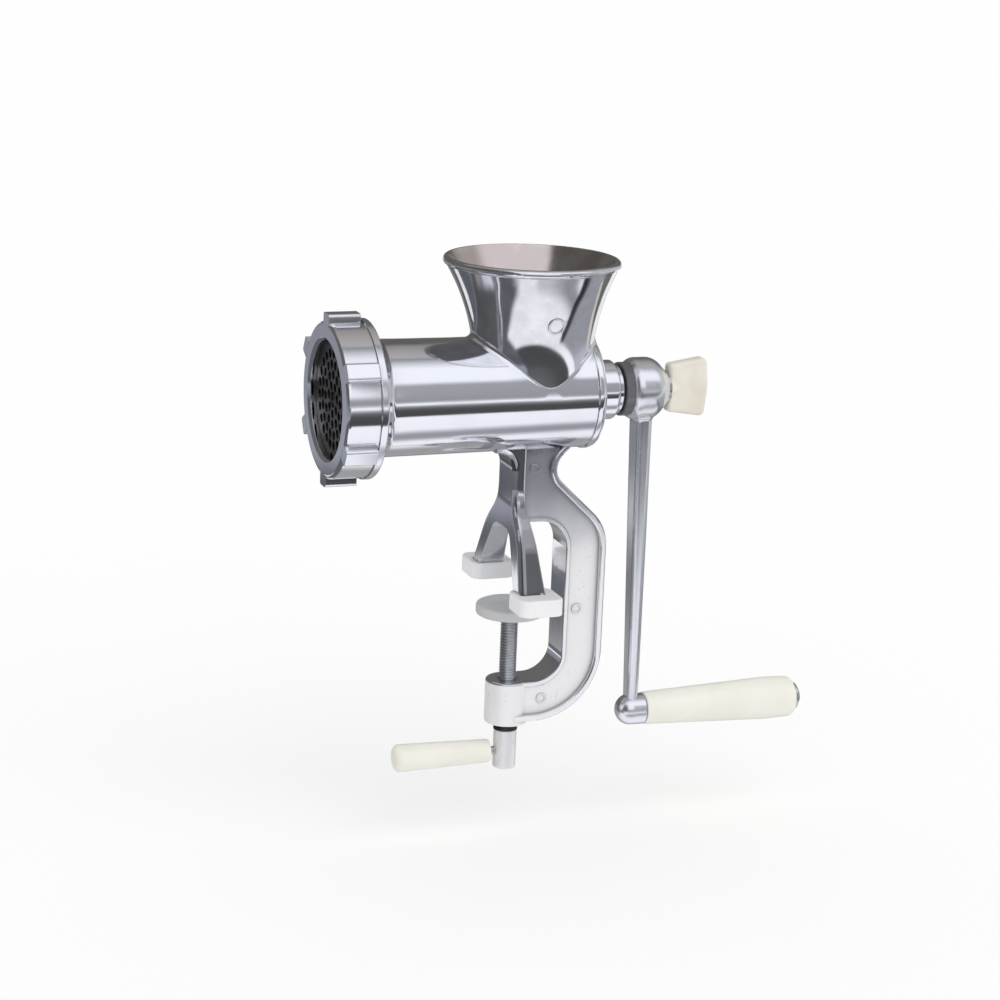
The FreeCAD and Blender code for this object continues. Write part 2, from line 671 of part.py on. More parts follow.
def body_casting():
    """The one-piece casting: barrel, hopper, column, legs, clamp frame and boss."""
    casting = barrel_with_hopper().fuse(column_form()).fuse(clamp_frame_form())
    for mark in casting_marks():
        casting = casting.fuse(mark)
    plate_seat = rod_along_x(NOSE_FRONT - OVERRUN, NOSE_FLOOR, PLATE_RADIUS + LOOSE_CLEARANCE, AXIS_HEIGHT)
    bore = rod_along_x(NOSE_FLOOR - OVERRUN, WALL_INSIDE, BARREL_BORE_RADIUS, AXIS_HEIGHT)
    bush_hole = rod_along_x(WALL_INSIDE - OVERRUN, NECK_END + OVERRUN, BUSH_RADIUS, AXIS_HEIGHT)
    feed = hopper_form(HOPPER_WALL, HOPPER_RIM_Z + HOPPER_LIP_RADIUS + OVERRUN)
    screw_hole = Part.makeCylinder(SCREW_RADIUS + THREAD_CLEARANCE, BOSS_HEIGHT + 2.0 * OVERRUN,
                                   Vector(0, 0, BOSS_FOOT - OVERRUN), UP)
    pin_hole = rod_along_x(NOSE_FLOOR - OVERRUN, NOSE_FLOOR + KEY_PIN_DEPTH, KEY_PIN_RADIUS,
                           AXIS_HEIGHT - KEY_PIN_OFFSET)
    for tool in (plate_seat, bore, bush_hole, feed, screw_hole, pin_hole):
        casting = casting.cut(tool)
    return casting


def plate_key_pin():
    """Pin pressed into the nose, which keeps the cutter plate from turning."""
    start = NOSE_FLOOR - KEY_PIN_PROUD
    return rod_along_x(start, NOSE_FLOOR + KEY_PIN_DEPTH, KEY_PIN_RADIUS, AXIS_HEIGHT - KEY_PIN_OFFSET)


def rear_bush():
    """Plain bearing in the neck for the auger's rear shaft."""
    return ring_along_x(WALL_INSIDE, NECK_END, BUSH_RADIUS, BUSH_BORE_RADIUS, AXIS_HEIGHT)


def foot_pad(side):
    """Plastic shoe under one leg, on the side of Y given by its sign."""
    centre_y = FOOT_PAD_INNER + FOOT_PAD_WIDTH / 2.0
    outline = rectangle(FOOT_PAD_LENGTH / 2.0, FOOT_PAD_WIDTH / 2.0, FOOT_PAD_CORNER, 0.0, centre_y)
    pad = top_prism(outline, 0.0, FOOT_PAD_HEIGHT)
    upper_edges = [edge for edge in pad.Edges if edge.BoundBox.ZMin > FOOT_PAD_HEIGHT - SAME_POINT]
    pad = pad.makeFillet(FOOT_PAD_EDGE_ROUND, upper_edges)
    pocket = Part.makeBox(FOOT_FRONT + FOOT_REAR, FOOT_WIDTH, FOOT_PAD_HEIGHT,
                          Vector(-FOOT_FRONT, FOOT_INNER, FOOT_PAD_FLOOR))
    pad = pad.cut(pocket)
    if side < 0:
        pad = pad.mirror(Vector(0, 0, 0), ALONG_Y)
    return pad


def ring_nut():
    """Ring nut with bevelled opening, grip bars and a plain rear collar."""
    collar_front = RING_REAR - RING_COLLAR_WIDTH
    thread_radius = NOSE_RADIUS + THREAD_CLEARANCE
    ring = turned_about_x([
        (RING_FRONT, RING_OPENING_RADIUS + RING_BEVEL, 0),
        (RING_FRONT, RING_RADIUS, RING_EDGE_ROUND),
        (collar_front, RING_RADIUS, 0),
        (collar_front, RING_COLLAR_RADIUS, SMALL_ROUND),
        (RING_REAR, RING_COLLAR_RADIUS, RING_COLLAR_ROUND),
        (RING_REAR, thread_radius, 0),
        (PLATE_FRONT, thread_radius, 0),
        (PLATE_FRONT, RING_OPENING_RADIUS, 0),
        (RING_FRONT + RING_BEVEL, RING_OPENING_RADIUS, 0),
    ], AXIS_HEIGHT)
    bar_foot = (thread_radius + RING_RADIUS) / 2.0
    bar = front_prism([
        (-LUG_WIDTH / 2.0, bar_foot, 0),
        (LUG_WIDTH / 2.0, bar_foot, 0),
        (LUG_WIDTH / 2.0, LUG_TOP_RADIUS, LUG_ROUND),
        (-LUG_WIDTH / 2.0, LUG_TOP_RADIUS, LUG_ROUND),
    ], RING_FRONT, collar_front - LUG_SETBACK)
    for index in range(LUG_COUNT):
        lug = bar.copy()
        lug.rotate(Vector(0, 0, 0), ALONG_X, 360.0 * index / LUG_COUNT)
        lug.translate(AXIS_POINT)
        ring = ring.fuse(lug)
    return ring


def cutter_plate():
    """Perforated plate with a spigot hole in its middle and a notch for the key pin."""
    spigot_bore = SPIGOT_RADIUS + RUNNING_CLEARANCE
    plate = ring_along_x(PLATE_FRONT, PLATE_REAR, PLATE_RADIUS, spigot_bore, AXIS_HEIGHT)
    outer_ring = KEY_PIN_OFFSET - KEY_PIN_RADIUS - PLATE_HOLE_RADIUS - PLATE_HOLE_MARGIN
    ring_step = PLATE_HOLE_PITCH * math.sqrt(3.0) / 2.0
    tool_front = PLATE_FRONT - OVERRUN
    tool_rear = PLATE_REAR + OVERRUN
    holes = []
    for ring in range(PLATE_HOLE_RINGS):
        ring_radius = outer_ring - ring * ring_step
        count = int(2.0 * math.pi * ring_radius / PLATE_HOLE_PITCH)
        for index in range(count):
            angle = 2.0 * math.pi * (index + 0.5 * (ring % 2)) / count
            across = Vector(0, ring_radius * math.sin(angle), ring_radius * math.cos(angle))
            centre = AXIS_POINT + ALONG_X * tool_front + across
            holes.append(Part.makeCylinder(PLATE_HOLE_RADIUS, tool_rear - tool_front, centre, ALONG_X))
    notch_half = KEY_PIN_RADIUS + LOOSE_CLEARANCE
    notch_foot = AXIS_HEIGHT - PLATE_RADIUS - OVERRUN
    notch_top = AXIS_HEIGHT - KEY_PIN_OFFSET + notch_half
    notch = front_prism([
        (-notch_half, notch_foot, 0),
        (notch_half, notch_foot, 0),
        (notch_half, notch_top, FULL_ROUND * notch_half),
        (-notch_half, notch_top, FULL_ROUND * notch_half),
    ], tool_front, tool_rear)
    return plate.cut(Part.makeCompound(holes)).cut(notch)


def cutter_knife():
    """Four-bladed knife on the square stud."""
    knife = rod_along_x(KNIFE_FRONT, AUGER_FRONT, KNIFE_HUB_RADIUS, AXIS_HEIGHT)
    blade = front_prism([
        (-KNIFE_BLADE_ROOT / 2.0, 0, 0),
        (KNIFE_BLADE_ROOT / 2.0, 0, 0),
        (KNIFE_BLADE_TIP / 2.0, KNIFE_REACH, KNIFE_TIP_ROUND),
        (-KNIFE_BLADE_TIP / 2.0, KNIFE_REACH, KNIFE_TIP_ROUND),
    ], KNIFE_FRONT, AUGER_FRONT)
    for index in range(KNIFE_BLADES):
        arm = blade.copy()
        arm.rotate(Vector(0, 0, 0), ALONG_X, 360.0 * index / KNIFE_BLADES)
        arm.translate(AXIS_POINT)
        knife = knife.fuse(arm)
    return knife.cut(square_bar(KNIFE_FRONT - OVERRUN, AUGER_FRONT + OVERRUN, STUD_SQUARE, AXIS_HEIGHT))


def auger():
    """Feed screw: round core with one helical flight."""
    length = AUGER_REAR - AUGER_FRONT
    core = rod_along_x(AUGER_FRONT, AUGER_REAR, AUGER_CORE_RADIUS, AXIS_HEIGHT)
    root = AUGER_CORE_RADIUS - FLIGHT_SINK
    run = length - 2.0 * FLIGHT_END_ROOM - FLIGHT_ROOT_THICKNESS
    helix = Part.Wire(Part.makeLongHelix(AUGER_PITCH, run, root).Edges)
    section = Part.makePolygon([
        Vector(root, 0, -FLIGHT_ROOT_THICKNESS / 2.0),
        Vector(AUGER_TIP_RADIUS, 0, -FLIGHT_TIP_THICKNESS / 2.0),
        Vector(AUGER_TIP_RADIUS, 0, FLIGHT_TIP_THICKNESS / 2.0),
        Vector(root, 0, FLIGHT_ROOT_THICKNESS / 2.0),
        Vector(root, 0, -FLIGHT_ROOT_THICKNESS / 2.0),
    ])
    sweep = Part.BRepOffsetAPI.MakePipeShell(helix)
    sweep.setFrenetMode(True)
    sweep.add(section)
    sweep.build()
    sweep.makeSolid()
    flight = sweep.shape()
    flight.rotate(Vector(0, 0, 0), ALONG_Y, 90)
    start_x = AUGER_FRONT + FLIGHT_END_ROOM + FLIGHT_ROOT_THICKNESS / 2.0
    flight.translate(Vector(start_x, 0, AXIS_HEIGHT))
    screw = core.fuse(flight)
    screw = screw.cut(square_bar(AUGER_FRONT - OVERRUN, AUGER_FRONT + STUD_DEPTH, STUD_SQUARE, AXIS_HEIGHT))
    return screw.cut(rod_along_x(AUGER_REAR - SHAFT_DEPTH, AUGER_REAR + OVERRUN, SHAFT_RADIUS, AXIS_HEIGHT))


def auger_front_stud():
    """Square stud that drives the knife, with a round spigot in the plate."""
    square = square_bar(KNIFE_FRONT, AUGER_FRONT + STUD_DEPTH, STUD_SQUARE, AXIS_HEIGHT)
    return square.fuse(rod_along_x(PLATE_FRONT + SPIGOT_SHORT, KNIFE_FRONT, SPIGOT_RADIUS, AXIS_HEIGHT))


def auger_rear_shaft():
    """Shaft in the neck's bush, squared where the crank sits, tapped for the thumb screw."""
    shaft = rod_along_x(AUGER_REAR - SHAFT_DEPTH, SPACER_FRONT, SHAFT_RADIUS, AXIS_HEIGHT)
    shaft = shaft.fuse(square_bar(SPACER_FRONT, SHAFT_REAR, SHAFT_SQUARE, AXIS_HEIGHT))
    tapped = rod_along_x(HUB_REAR - THUMB_STUD_REACH - OVERRUN, SHAFT_REAR + OVERRUN,
                         THUMB_STUD_RADIUS + THREAD_CLEARANCE, AXIS_HEIGHT)
    return shaft.cut(tapped)


def thrust_washer():
    """Washer between the auger and the rear wall of the barrel."""
    return ring_along_x(AUGER_REAR, THRUST_REAR, THRUST_WASHER_RADIUS, SHAFT_RADIUS, AXIS_HEIGHT)


def crank_spacer_washer():
    """Dark washer on the square of the shaft, against the crank hub."""
    washer = turned_about_x([
        (SPACER_FRONT, 0, 0),
        (SPACER_FRONT, SPACER_RADIUS, SPACER_ROUND),
        (HUB_FRONT, SPACER_RADIUS, 0),
        (HUB_FRONT, 0, 0),
    ], AXIS_HEIGHT)
    return washer.cut(square_bar(SPACER_FRONT - OVERRUN, HUB_FRONT + OVERRUN, SHAFT_SQUARE, AXIS_HEIGHT))


def arm_section(height, share):
    """Rounded section of the crank arm, where share runs from 0 at the hub to 1 at the foot."""
    thickness = ARM_TOP_THICKNESS + (ARM_FOOT_THICKNESS - ARM_TOP_THICKNESS) * share
    width = ARM_TOP_WIDTH + (ARM_FOOT_WIDTH - ARM_TOP_WIDTH) * share
    centre_x = ARM_TOP_X + ARM_LEAN * share
    corners = rectangle(thickness / 2.0, width / 2.0, ARM_EDGE_ROUND, centre_x, 0.0)
    wire = rounded_wire(corners, in_top_plane)
    wire.translate(UP * height)
    return wire


def crank_arm():
    """Cast crank: swelling hub, tapered arm and bullet-shaped boss for the grip."""
    middle = (HUB_FRONT + HUB_REAR) / 2.0
    dome = HUB_RADIUS - HUB_END_RADIUS
    hub = turned_about_x([
        (HUB_FRONT, 0, 0),
        (HUB_FRONT, HUB_END_RADIUS, HUB_FRONT_ROUND),
        (HUB_FRONT + dome, HUB_RADIUS, HUB_SWELL_ROUND),
        (middle + HUB_LENGTH / 6.0, HUB_RADIUS, HUB_DOME_ROUND),
        (HUB_REAR, HUB_SEAT_RADIUS, HUB_SEAT_ROUND),
        (HUB_REAR, 0, 0),
    ], AXIS_HEIGHT)
    arm = Part.makeLoft([arm_section(AXIS_HEIGHT, 0.0), arm_section(GRIP_AXIS_HEIGHT, 1.0)], True, True)
    boss = turned_about_x([
        (ARM_BOSS_FRONT, 0, 0),
        (ARM_BOSS_FRONT, ARM_BOSS_RADIUS, FULL_ROUND * ARM_BOSS_RADIUS),
        (ARM_BOSS_REAR, ARM_BOSS_RADIUS, SMALL_ROUND),
        (ARM_BOSS_REAR, 0, 0),
    ], GRIP_AXIS_HEIGHT)
    crank = hub.fuse(arm)
    root_edges = []
    for edge in crank.Edges:
        box = edge.BoundBox
        if box.ZMax < AXIS_HEIGHT and box.ZMin > AXIS_HEIGHT - HUB_RADIUS - OVERRUN:
            root_edges.append(edge)
    crank = crank.makeFillet(ARM_ROOT_FILLET, root_edges).fuse(boss)
    shaft_hole = square_bar(HUB_FRONT - OVERRUN, SHAFT_REAR, SHAFT_SQUARE, AXIS_HEIGHT)
    stud_hole = rod_along_x(SHAFT_REAR - OVERRUN, HUB_REAR + OVERRUN,
                            THUMB_STUD_RADIUS + THREAD_CLEARANCE, AXIS_HEIGHT)
    spindle_hole = rod_along_x(ARM_BOSS_REAR - SPINDLE_SINK, ARM_BOSS_REAR + OVERRUN,
                               SPINDLE_RADIUS, GRIP_AXIS_HEIGHT)
    for tool in (shaft_hole, stud_hole, spindle_hole):
        crank = crank.cut(tool)
    return crank


def thumb_screw_washer():
    """Washer under the thumb screw."""
    bore_radius = THUMB_STUD_RADIUS + LOOSE_CLEARANCE
    return ring_along_x(HUB_REAR, WING_FRONT, THUMB_WASHER_RADIUS, bore_radius, AXIS_HEIGHT)


def thumb_screw_stud():
    """Steel stud of the thumb screw, moulded into the wing."""
    stud_rear = WING_FRONT + THUMB_STUD_SINK
    return rod_along_x(HUB_REAR - THUMB_STUD_REACH, stud_rear, THUMB_STUD_RADIUS, AXIS_HEIGHT)


def thumb_screw_wing():
    """Fan-shaped plastic wing with a round collar."""
    tip = WING_FRONT + WING_LENGTH - WING_BULGE
    fan = side_prism([
        (WING_FRONT, AXIS_HEIGHT - WING_ROOT_HEIGHT / 2.0, WING_ROOT_ROUND),
        (tip, AXIS_HEIGHT - WING_TIP_HEIGHT / 2.0, WING_TIP_ROUND),
        (tip + WING_BULGE, AXIS_HEIGHT, WING_BULGE_ROUND),
        (tip, AXIS_HEIGHT + WING_TIP_HEIGHT / 2.0, WING_TIP_ROUND),
        (WING_FRONT, AXIS_HEIGHT + WING_ROOT_HEIGHT / 2.0, WING_ROOT_ROUND),
    ], WING_THICKNESS / 2.0)
    fan = fan.makeFillet(WING_EDGE_ROUND, outline_edges(fan, WING_THICKNESS / 2.0))
    collar = turned_about_x([
        (WING_FRONT, 0, 0),
        (WING_FRONT, WING_COLLAR_RADIUS, WING_COLLAR_ROUND),
        (WING_FRONT + WING_COLLAR_LENGTH, WING_THICKNESS / 2.0, 0),
        (WING_FRONT + WING_COLLAR_LENGTH, 0, 0),
    ], AXIS_HEIGHT)
    stud_rear = WING_FRONT + THUMB_STUD_SINK
    stud_hole = rod_along_x(WING_FRONT - OVERRUN, stud_rear, THUMB_STUD_RADIUS, AXIS_HEIGHT)
    return fan.fuse(collar).cut(stud_hole)


def crank_grip():
    """Turned grip that swells towards its free end, bored for the spindle."""
    grip = turned_about_x([
        (GRIP_FRONT, 0, 0),
        (GRIP_FRONT, GRIP_ROOT_RADIUS, GRIP_FRONT_ROUND),
        (GRIP_FRONT + GRIP_SWELL_AT, GRIP_SWELL_RADIUS, GRIP_SWELL_ROUND),
        (GRIP_REAR, GRIP_SWELL_RADIUS - GRIP_END_TAPER, GRIP_END_ROUND),
        (GRIP_REAR, 0, 0),
    ], GRIP_AXIS_HEIGHT)
    bore = rod_along_x(GRIP_FRONT - OVERRUN, GRIP_REAR + OVERRUN, SPINDLE_RADIUS + RUNNING_CLEARANCE,
                       GRIP_AXIS_HEIGHT)
    return grip.cut(bore)


def grip_spindle():
    """Spindle riveted over the end washer."""
    rivet_front = GRIP_REAR + LOOSE_CLEARANCE + GRIP_WASHER
    rod = rod_along_x(ARM_BOSS_REAR - SPINDLE_SINK, rivet_front, SPINDLE_RADIUS, GRIP_AXIS_HEIGHT)
    head = turned_about_x([
        (rivet_front, 0, 0),
        (rivet_front, RIVET_RADIUS, 0),
        (rivet_front + RIVET_HEIGHT, RIVET_RADIUS, FULL_ROUND * RIVET_HEIGHT),
        (rivet_front + RIVET_HEIGHT, 0, 0),
    ], GRIP_AXIS_HEIGHT)
    return rod.fuse(head)


def grip_washer():
    """Washer between the grip and the riveted end of the spindle."""
    front = GRIP_REAR + LOOSE_CLEARANCE
    return ring_along_x(front, front + GRIP_WASHER, GRIP_WASHER_RADIUS, SPINDLE_RADIUS, GRIP_AXIS_HEIGHT)


def pressure_pad():
    """White plastic cap that presses on the underside of the table."""
    pad = turned_about_z([
        (0, PAD_FOOT, 0),
        (PAD_RADIUS, PAD_FOOT, PAD_ROUND),
        (PAD_RADIUS, PAD_TOP, PAD_ROUND),
        (0, PAD_TOP, 0),
    ])
    pocket = Part.makeCylinder(PRESSURE_PLATE_RADIUS, PRESSURE_PLATE_TOP - PAD_FOOT + OVERRUN,
                               Vector(0, 0, PAD_FOOT - OVERRUN), UP)
    return pad.cut(pocket)


def pressure_plate():
    """Steel disc in the pad, with a socket for the tip of the clamp screw."""
    plate = Part.makeCylinder(PRESSURE_PLATE_RADIUS, PRESSURE_PLATE_THICKNESS,
                              Vector(0, 0, PRESSURE_PLATE_FOOT), UP)
    socket = Part.makeCylinder(SCREW_TIP_RADIUS + RUNNING_CLEARANCE, SCREW_TIP_LENGTH + SEAT_CLEARANCE,
                               Vector(0, 0, PRESSURE_PLATE_FOOT), UP)
    return plate.cut(socket)


def clamp_screw():
    """Clamp screw at the size of its thread's crests, with a plain tip."""
    shoulder = PRESSURE_PLATE_FOOT - SEAT_CLEARANCE
    rod = Part.makeCylinder(SCREW_RADIUS, shoulder - SCREW_FOOT, Vector(0, 0, SCREW_FOOT), UP)
    tip = Part.makeCylinder(SCREW_TIP_RADIUS, SCREW_TIP_LENGTH + SEAT_CLEARANCE, Vector(0, 0, shoulder), UP)
    return rod.fuse(tip).cut(lever_cross_hole())


def lever_cross_hole():
    """Hole for the lever's core across the head and the screw."""
    return rod_along_x(-LEVER_HEAD_RADIUS - OVERRUN, LEVER_CORE_SINK, LEVER_CORE_RADIUS, LEVER_AXIS_Z)


def lever_washer():
    """Dark washer on the screw, on top of the lever's head."""
    washer = Part.makeCylinder(LEVER_WASHER_RADIUS, LEVER_WASHER, Vector(0, 0, LEVER_HEAD_TOP), UP)
    bore_foot = Vector(0, 0, LEVER_HEAD_TOP - OVERRUN)
    bore = Part.makeCylinder(SCREW_RADIUS, LEVER_WASHER + 2.0 * OVERRUN, bore_foot, UP)
    return washer.cut(bore)


def lever_head():
    """Sleeve on the foot of the clamp screw that carries the lever."""
    head = turned_about_z([
        (0, LEVER_HEAD_FOOT, 0),
        (LEVER_HEAD_RADIUS, LEVER_HEAD_FOOT, LEVER_HEAD_ROUND),
        (LEVER_HEAD_RADIUS, LEVER_HEAD_TOP, SMALL_ROUND),
        (0, LEVER_HEAD_TOP, 0),
    ])
    bore = Part.makeCylinder(SCREW_RADIUS, LEVER_HEAD_LENGTH, Vector(0, 0, SCREW_FOOT), UP)
    return head.cut(bore).cut(lever_cross_hole())


def lever_core():
    """Steel core of the clamp lever, pressed across the head and the screw."""
    return rod_along_x(LEVER_FRONT - LEVER_BORE_DEPTH, LEVER_CORE_SINK, LEVER_CORE_RADIUS, LEVER_AXIS_Z)


def clamp_lever():
    """One-sided plastic lever on its steel core."""
    tip = LEVER_FRONT - LEVER_LENGTH
    lever = turned_about_x([
        (LEVER_FRONT, 0, 0),
        (LEVER_FRONT, LEVER_ROOT_RADIUS, LEVER_ROOT_ROUND),
        (tip, LEVER_END_RADIUS, LEVER_END_ROUND),
        (tip, 0, 0),
    ], LEVER_AXIS_Z)
    bore_end = LEVER_FRONT - LEVER_BORE_DEPTH
    bore = rod_along_x(bore_end, LEVER_FRONT + OVERRUN, LEVER_CORE_RADIUS, LEVER_AXIS_Z)
    return lever.cut(bore)


PIECES = {
    "body_casting": body_casting,
    "plate_key_pin": plate_key_pin,
    "rear_bush": rear_bush,
    "foot_pad_near": lambda: foot_pad(-1),
    "foot_pad_far": lambda: foot_pad(1),
    "ring_nut": ring_nut,
    "cutter_plate": cutter_plate,
    "cutter_knife": cutter_knife,
    "auger": auger,
    "auger_front_stud": auger_front_stud,
    "auger_rear_shaft": auger_rear_shaft,
    "thrust_washer": thrust_washer,
    "crank_spacer_washer": crank_spacer_washer,
    "crank_arm": crank_arm,
    "thumb_screw_washer": thumb_screw_washer,
    "thumb_screw_stud": thumb_screw_stud,
    "thumb_screw_wing": thumb_screw_wing,
    "crank_grip": crank_grip,
    "grip_spindle": grip_spindle,
    "grip_washer": grip_washer,
    "pressure_pad": pressure_pad,
    "pressure_plate": pressure_plate,
    "clamp_screw": clamp_screw,
    "lever_washer": lever_washer,
    "lever_head": lever_head,
    "lever_core": lever_core,
    "clamp_lever": clamp_lever,
}


def main():
    """Build every piece and write it to its own file."""
    os.makedirs("parts", exist_ok=True)
    for name, build in PIECES.items():
        shape = build()
        print(name, "valid" if shape.isValid() else "NOT VALID", len(shape.Solids), round(shape.Volume, 1))
        shape.exportStep("parts/" + name + ".step")


main()
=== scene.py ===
"""Hand crank meat grinder: finishes, finer pieces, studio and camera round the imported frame.

Metres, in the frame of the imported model: the origin is where the clamp screw's axis meets the
table top, +Z is up, X runs along the barrel with the outlet towards -X, and Y runs away from
the camera across the clamp frame.
"""

import functools
import json
import logging
import math
from dataclasses import dataclass
from enum import Enum
from typing import Any, Callable, ClassVar, Iterable, Mapping, Sequence, Union

import bpy
from mathutils import Matrix, Vector


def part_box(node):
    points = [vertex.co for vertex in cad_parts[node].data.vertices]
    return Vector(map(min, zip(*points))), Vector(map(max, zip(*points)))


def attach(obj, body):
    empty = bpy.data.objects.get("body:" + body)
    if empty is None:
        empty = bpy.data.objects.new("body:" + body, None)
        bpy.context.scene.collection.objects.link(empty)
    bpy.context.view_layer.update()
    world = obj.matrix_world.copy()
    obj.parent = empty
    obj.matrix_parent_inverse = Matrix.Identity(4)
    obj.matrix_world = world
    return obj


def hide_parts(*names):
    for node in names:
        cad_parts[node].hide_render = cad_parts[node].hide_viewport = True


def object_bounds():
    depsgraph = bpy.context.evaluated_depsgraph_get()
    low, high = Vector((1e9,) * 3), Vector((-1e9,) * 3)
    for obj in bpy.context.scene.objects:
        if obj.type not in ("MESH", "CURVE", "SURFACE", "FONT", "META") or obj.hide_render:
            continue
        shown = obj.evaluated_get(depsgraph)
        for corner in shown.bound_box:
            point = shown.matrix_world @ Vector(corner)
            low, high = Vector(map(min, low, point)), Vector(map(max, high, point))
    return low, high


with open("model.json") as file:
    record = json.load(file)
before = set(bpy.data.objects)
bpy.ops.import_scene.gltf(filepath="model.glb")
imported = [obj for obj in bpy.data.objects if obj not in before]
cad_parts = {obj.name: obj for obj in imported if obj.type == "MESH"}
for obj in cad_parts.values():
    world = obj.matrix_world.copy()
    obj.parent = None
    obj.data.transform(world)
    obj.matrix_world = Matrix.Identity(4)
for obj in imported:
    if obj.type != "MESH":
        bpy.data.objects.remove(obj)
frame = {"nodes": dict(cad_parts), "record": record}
CAD_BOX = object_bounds()

LOG = logging.getLogger("meat_grinder")

Colour = tuple[float, float, float]
Triple = tuple[float, float, float]
Limits = tuple[float, float]
Level = tuple[float, float]
Stop = tuple[float, Colour]
Socket = Union["Value", float, Sequence[float]]


class Value:
    """A shader socket that Python expressions can work on, adding Math nodes as they go."""

    def __init__(self, graph: "ShaderGraph", socket: bpy.types.NodeSocket | None) -> None:
        """Keep the graph and the output socket, which is None for a node without outputs."""
        self.graph = graph
        self.socket = socket

    def out(self, name: str) -> "Value":
        """Another output of the same node."""
        return Value(self.graph, self.graph.find(self.socket.node.outputs, name))

    def __abs__(self) -> "Value":
        """Size without the sign."""
        return self.graph.math("ABSOLUTE", self)

    def __add__(self, other: Socket) -> "Value":
        """Sum."""
        return self.graph.math("ADD", self, other)

    def __radd__(self, other: Socket) -> "Value":
        """Sum with a number in front."""
        return self.graph.math("ADD", other, self)

    def __sub__(self, other: Socket) -> "Value":
        """Difference."""
        return self.graph.math("SUBTRACT", self, other)

    def __rsub__(self, other: Socket) -> "Value":
        """Difference from a number in front."""
        return self.graph.math("SUBTRACT", other, self)

    def __mul__(self, other: Socket) -> "Value":
        """Product."""
        return self.graph.math("MULTIPLY", self, other)

    def __rmul__(self, other: Socket) -> "Value":
        """Product with a number in front."""
        return self.graph.math("MULTIPLY", other, self)

    def __truediv__(self, other: Socket) -> "Value":
        """Quotient."""
        return self.graph.math("DIVIDE", self, other)

    def __pow__(self, other: Socket) -> "Value":
        """Power."""
        return self.graph.math("POWER", self, other)


@dataclass(frozen=True)
class Pattern:
    """A cloudy pattern, with values between 0 and 1 that lie round its mean.

    Attributes:
        scale: How many clouds there are to the metre, roughly.
        detail: How many layers of finer clouds lie on the coarse ones.
        rough: How strong the finer clouds are.
        fade: Values between which its patches fade in.
    """

    scale: float
    detail: float = 2.0
    rough: float = 0.5
    fade: Limits = (0.0, 1.0)

    MEAN: ClassVar[float] = 0.5


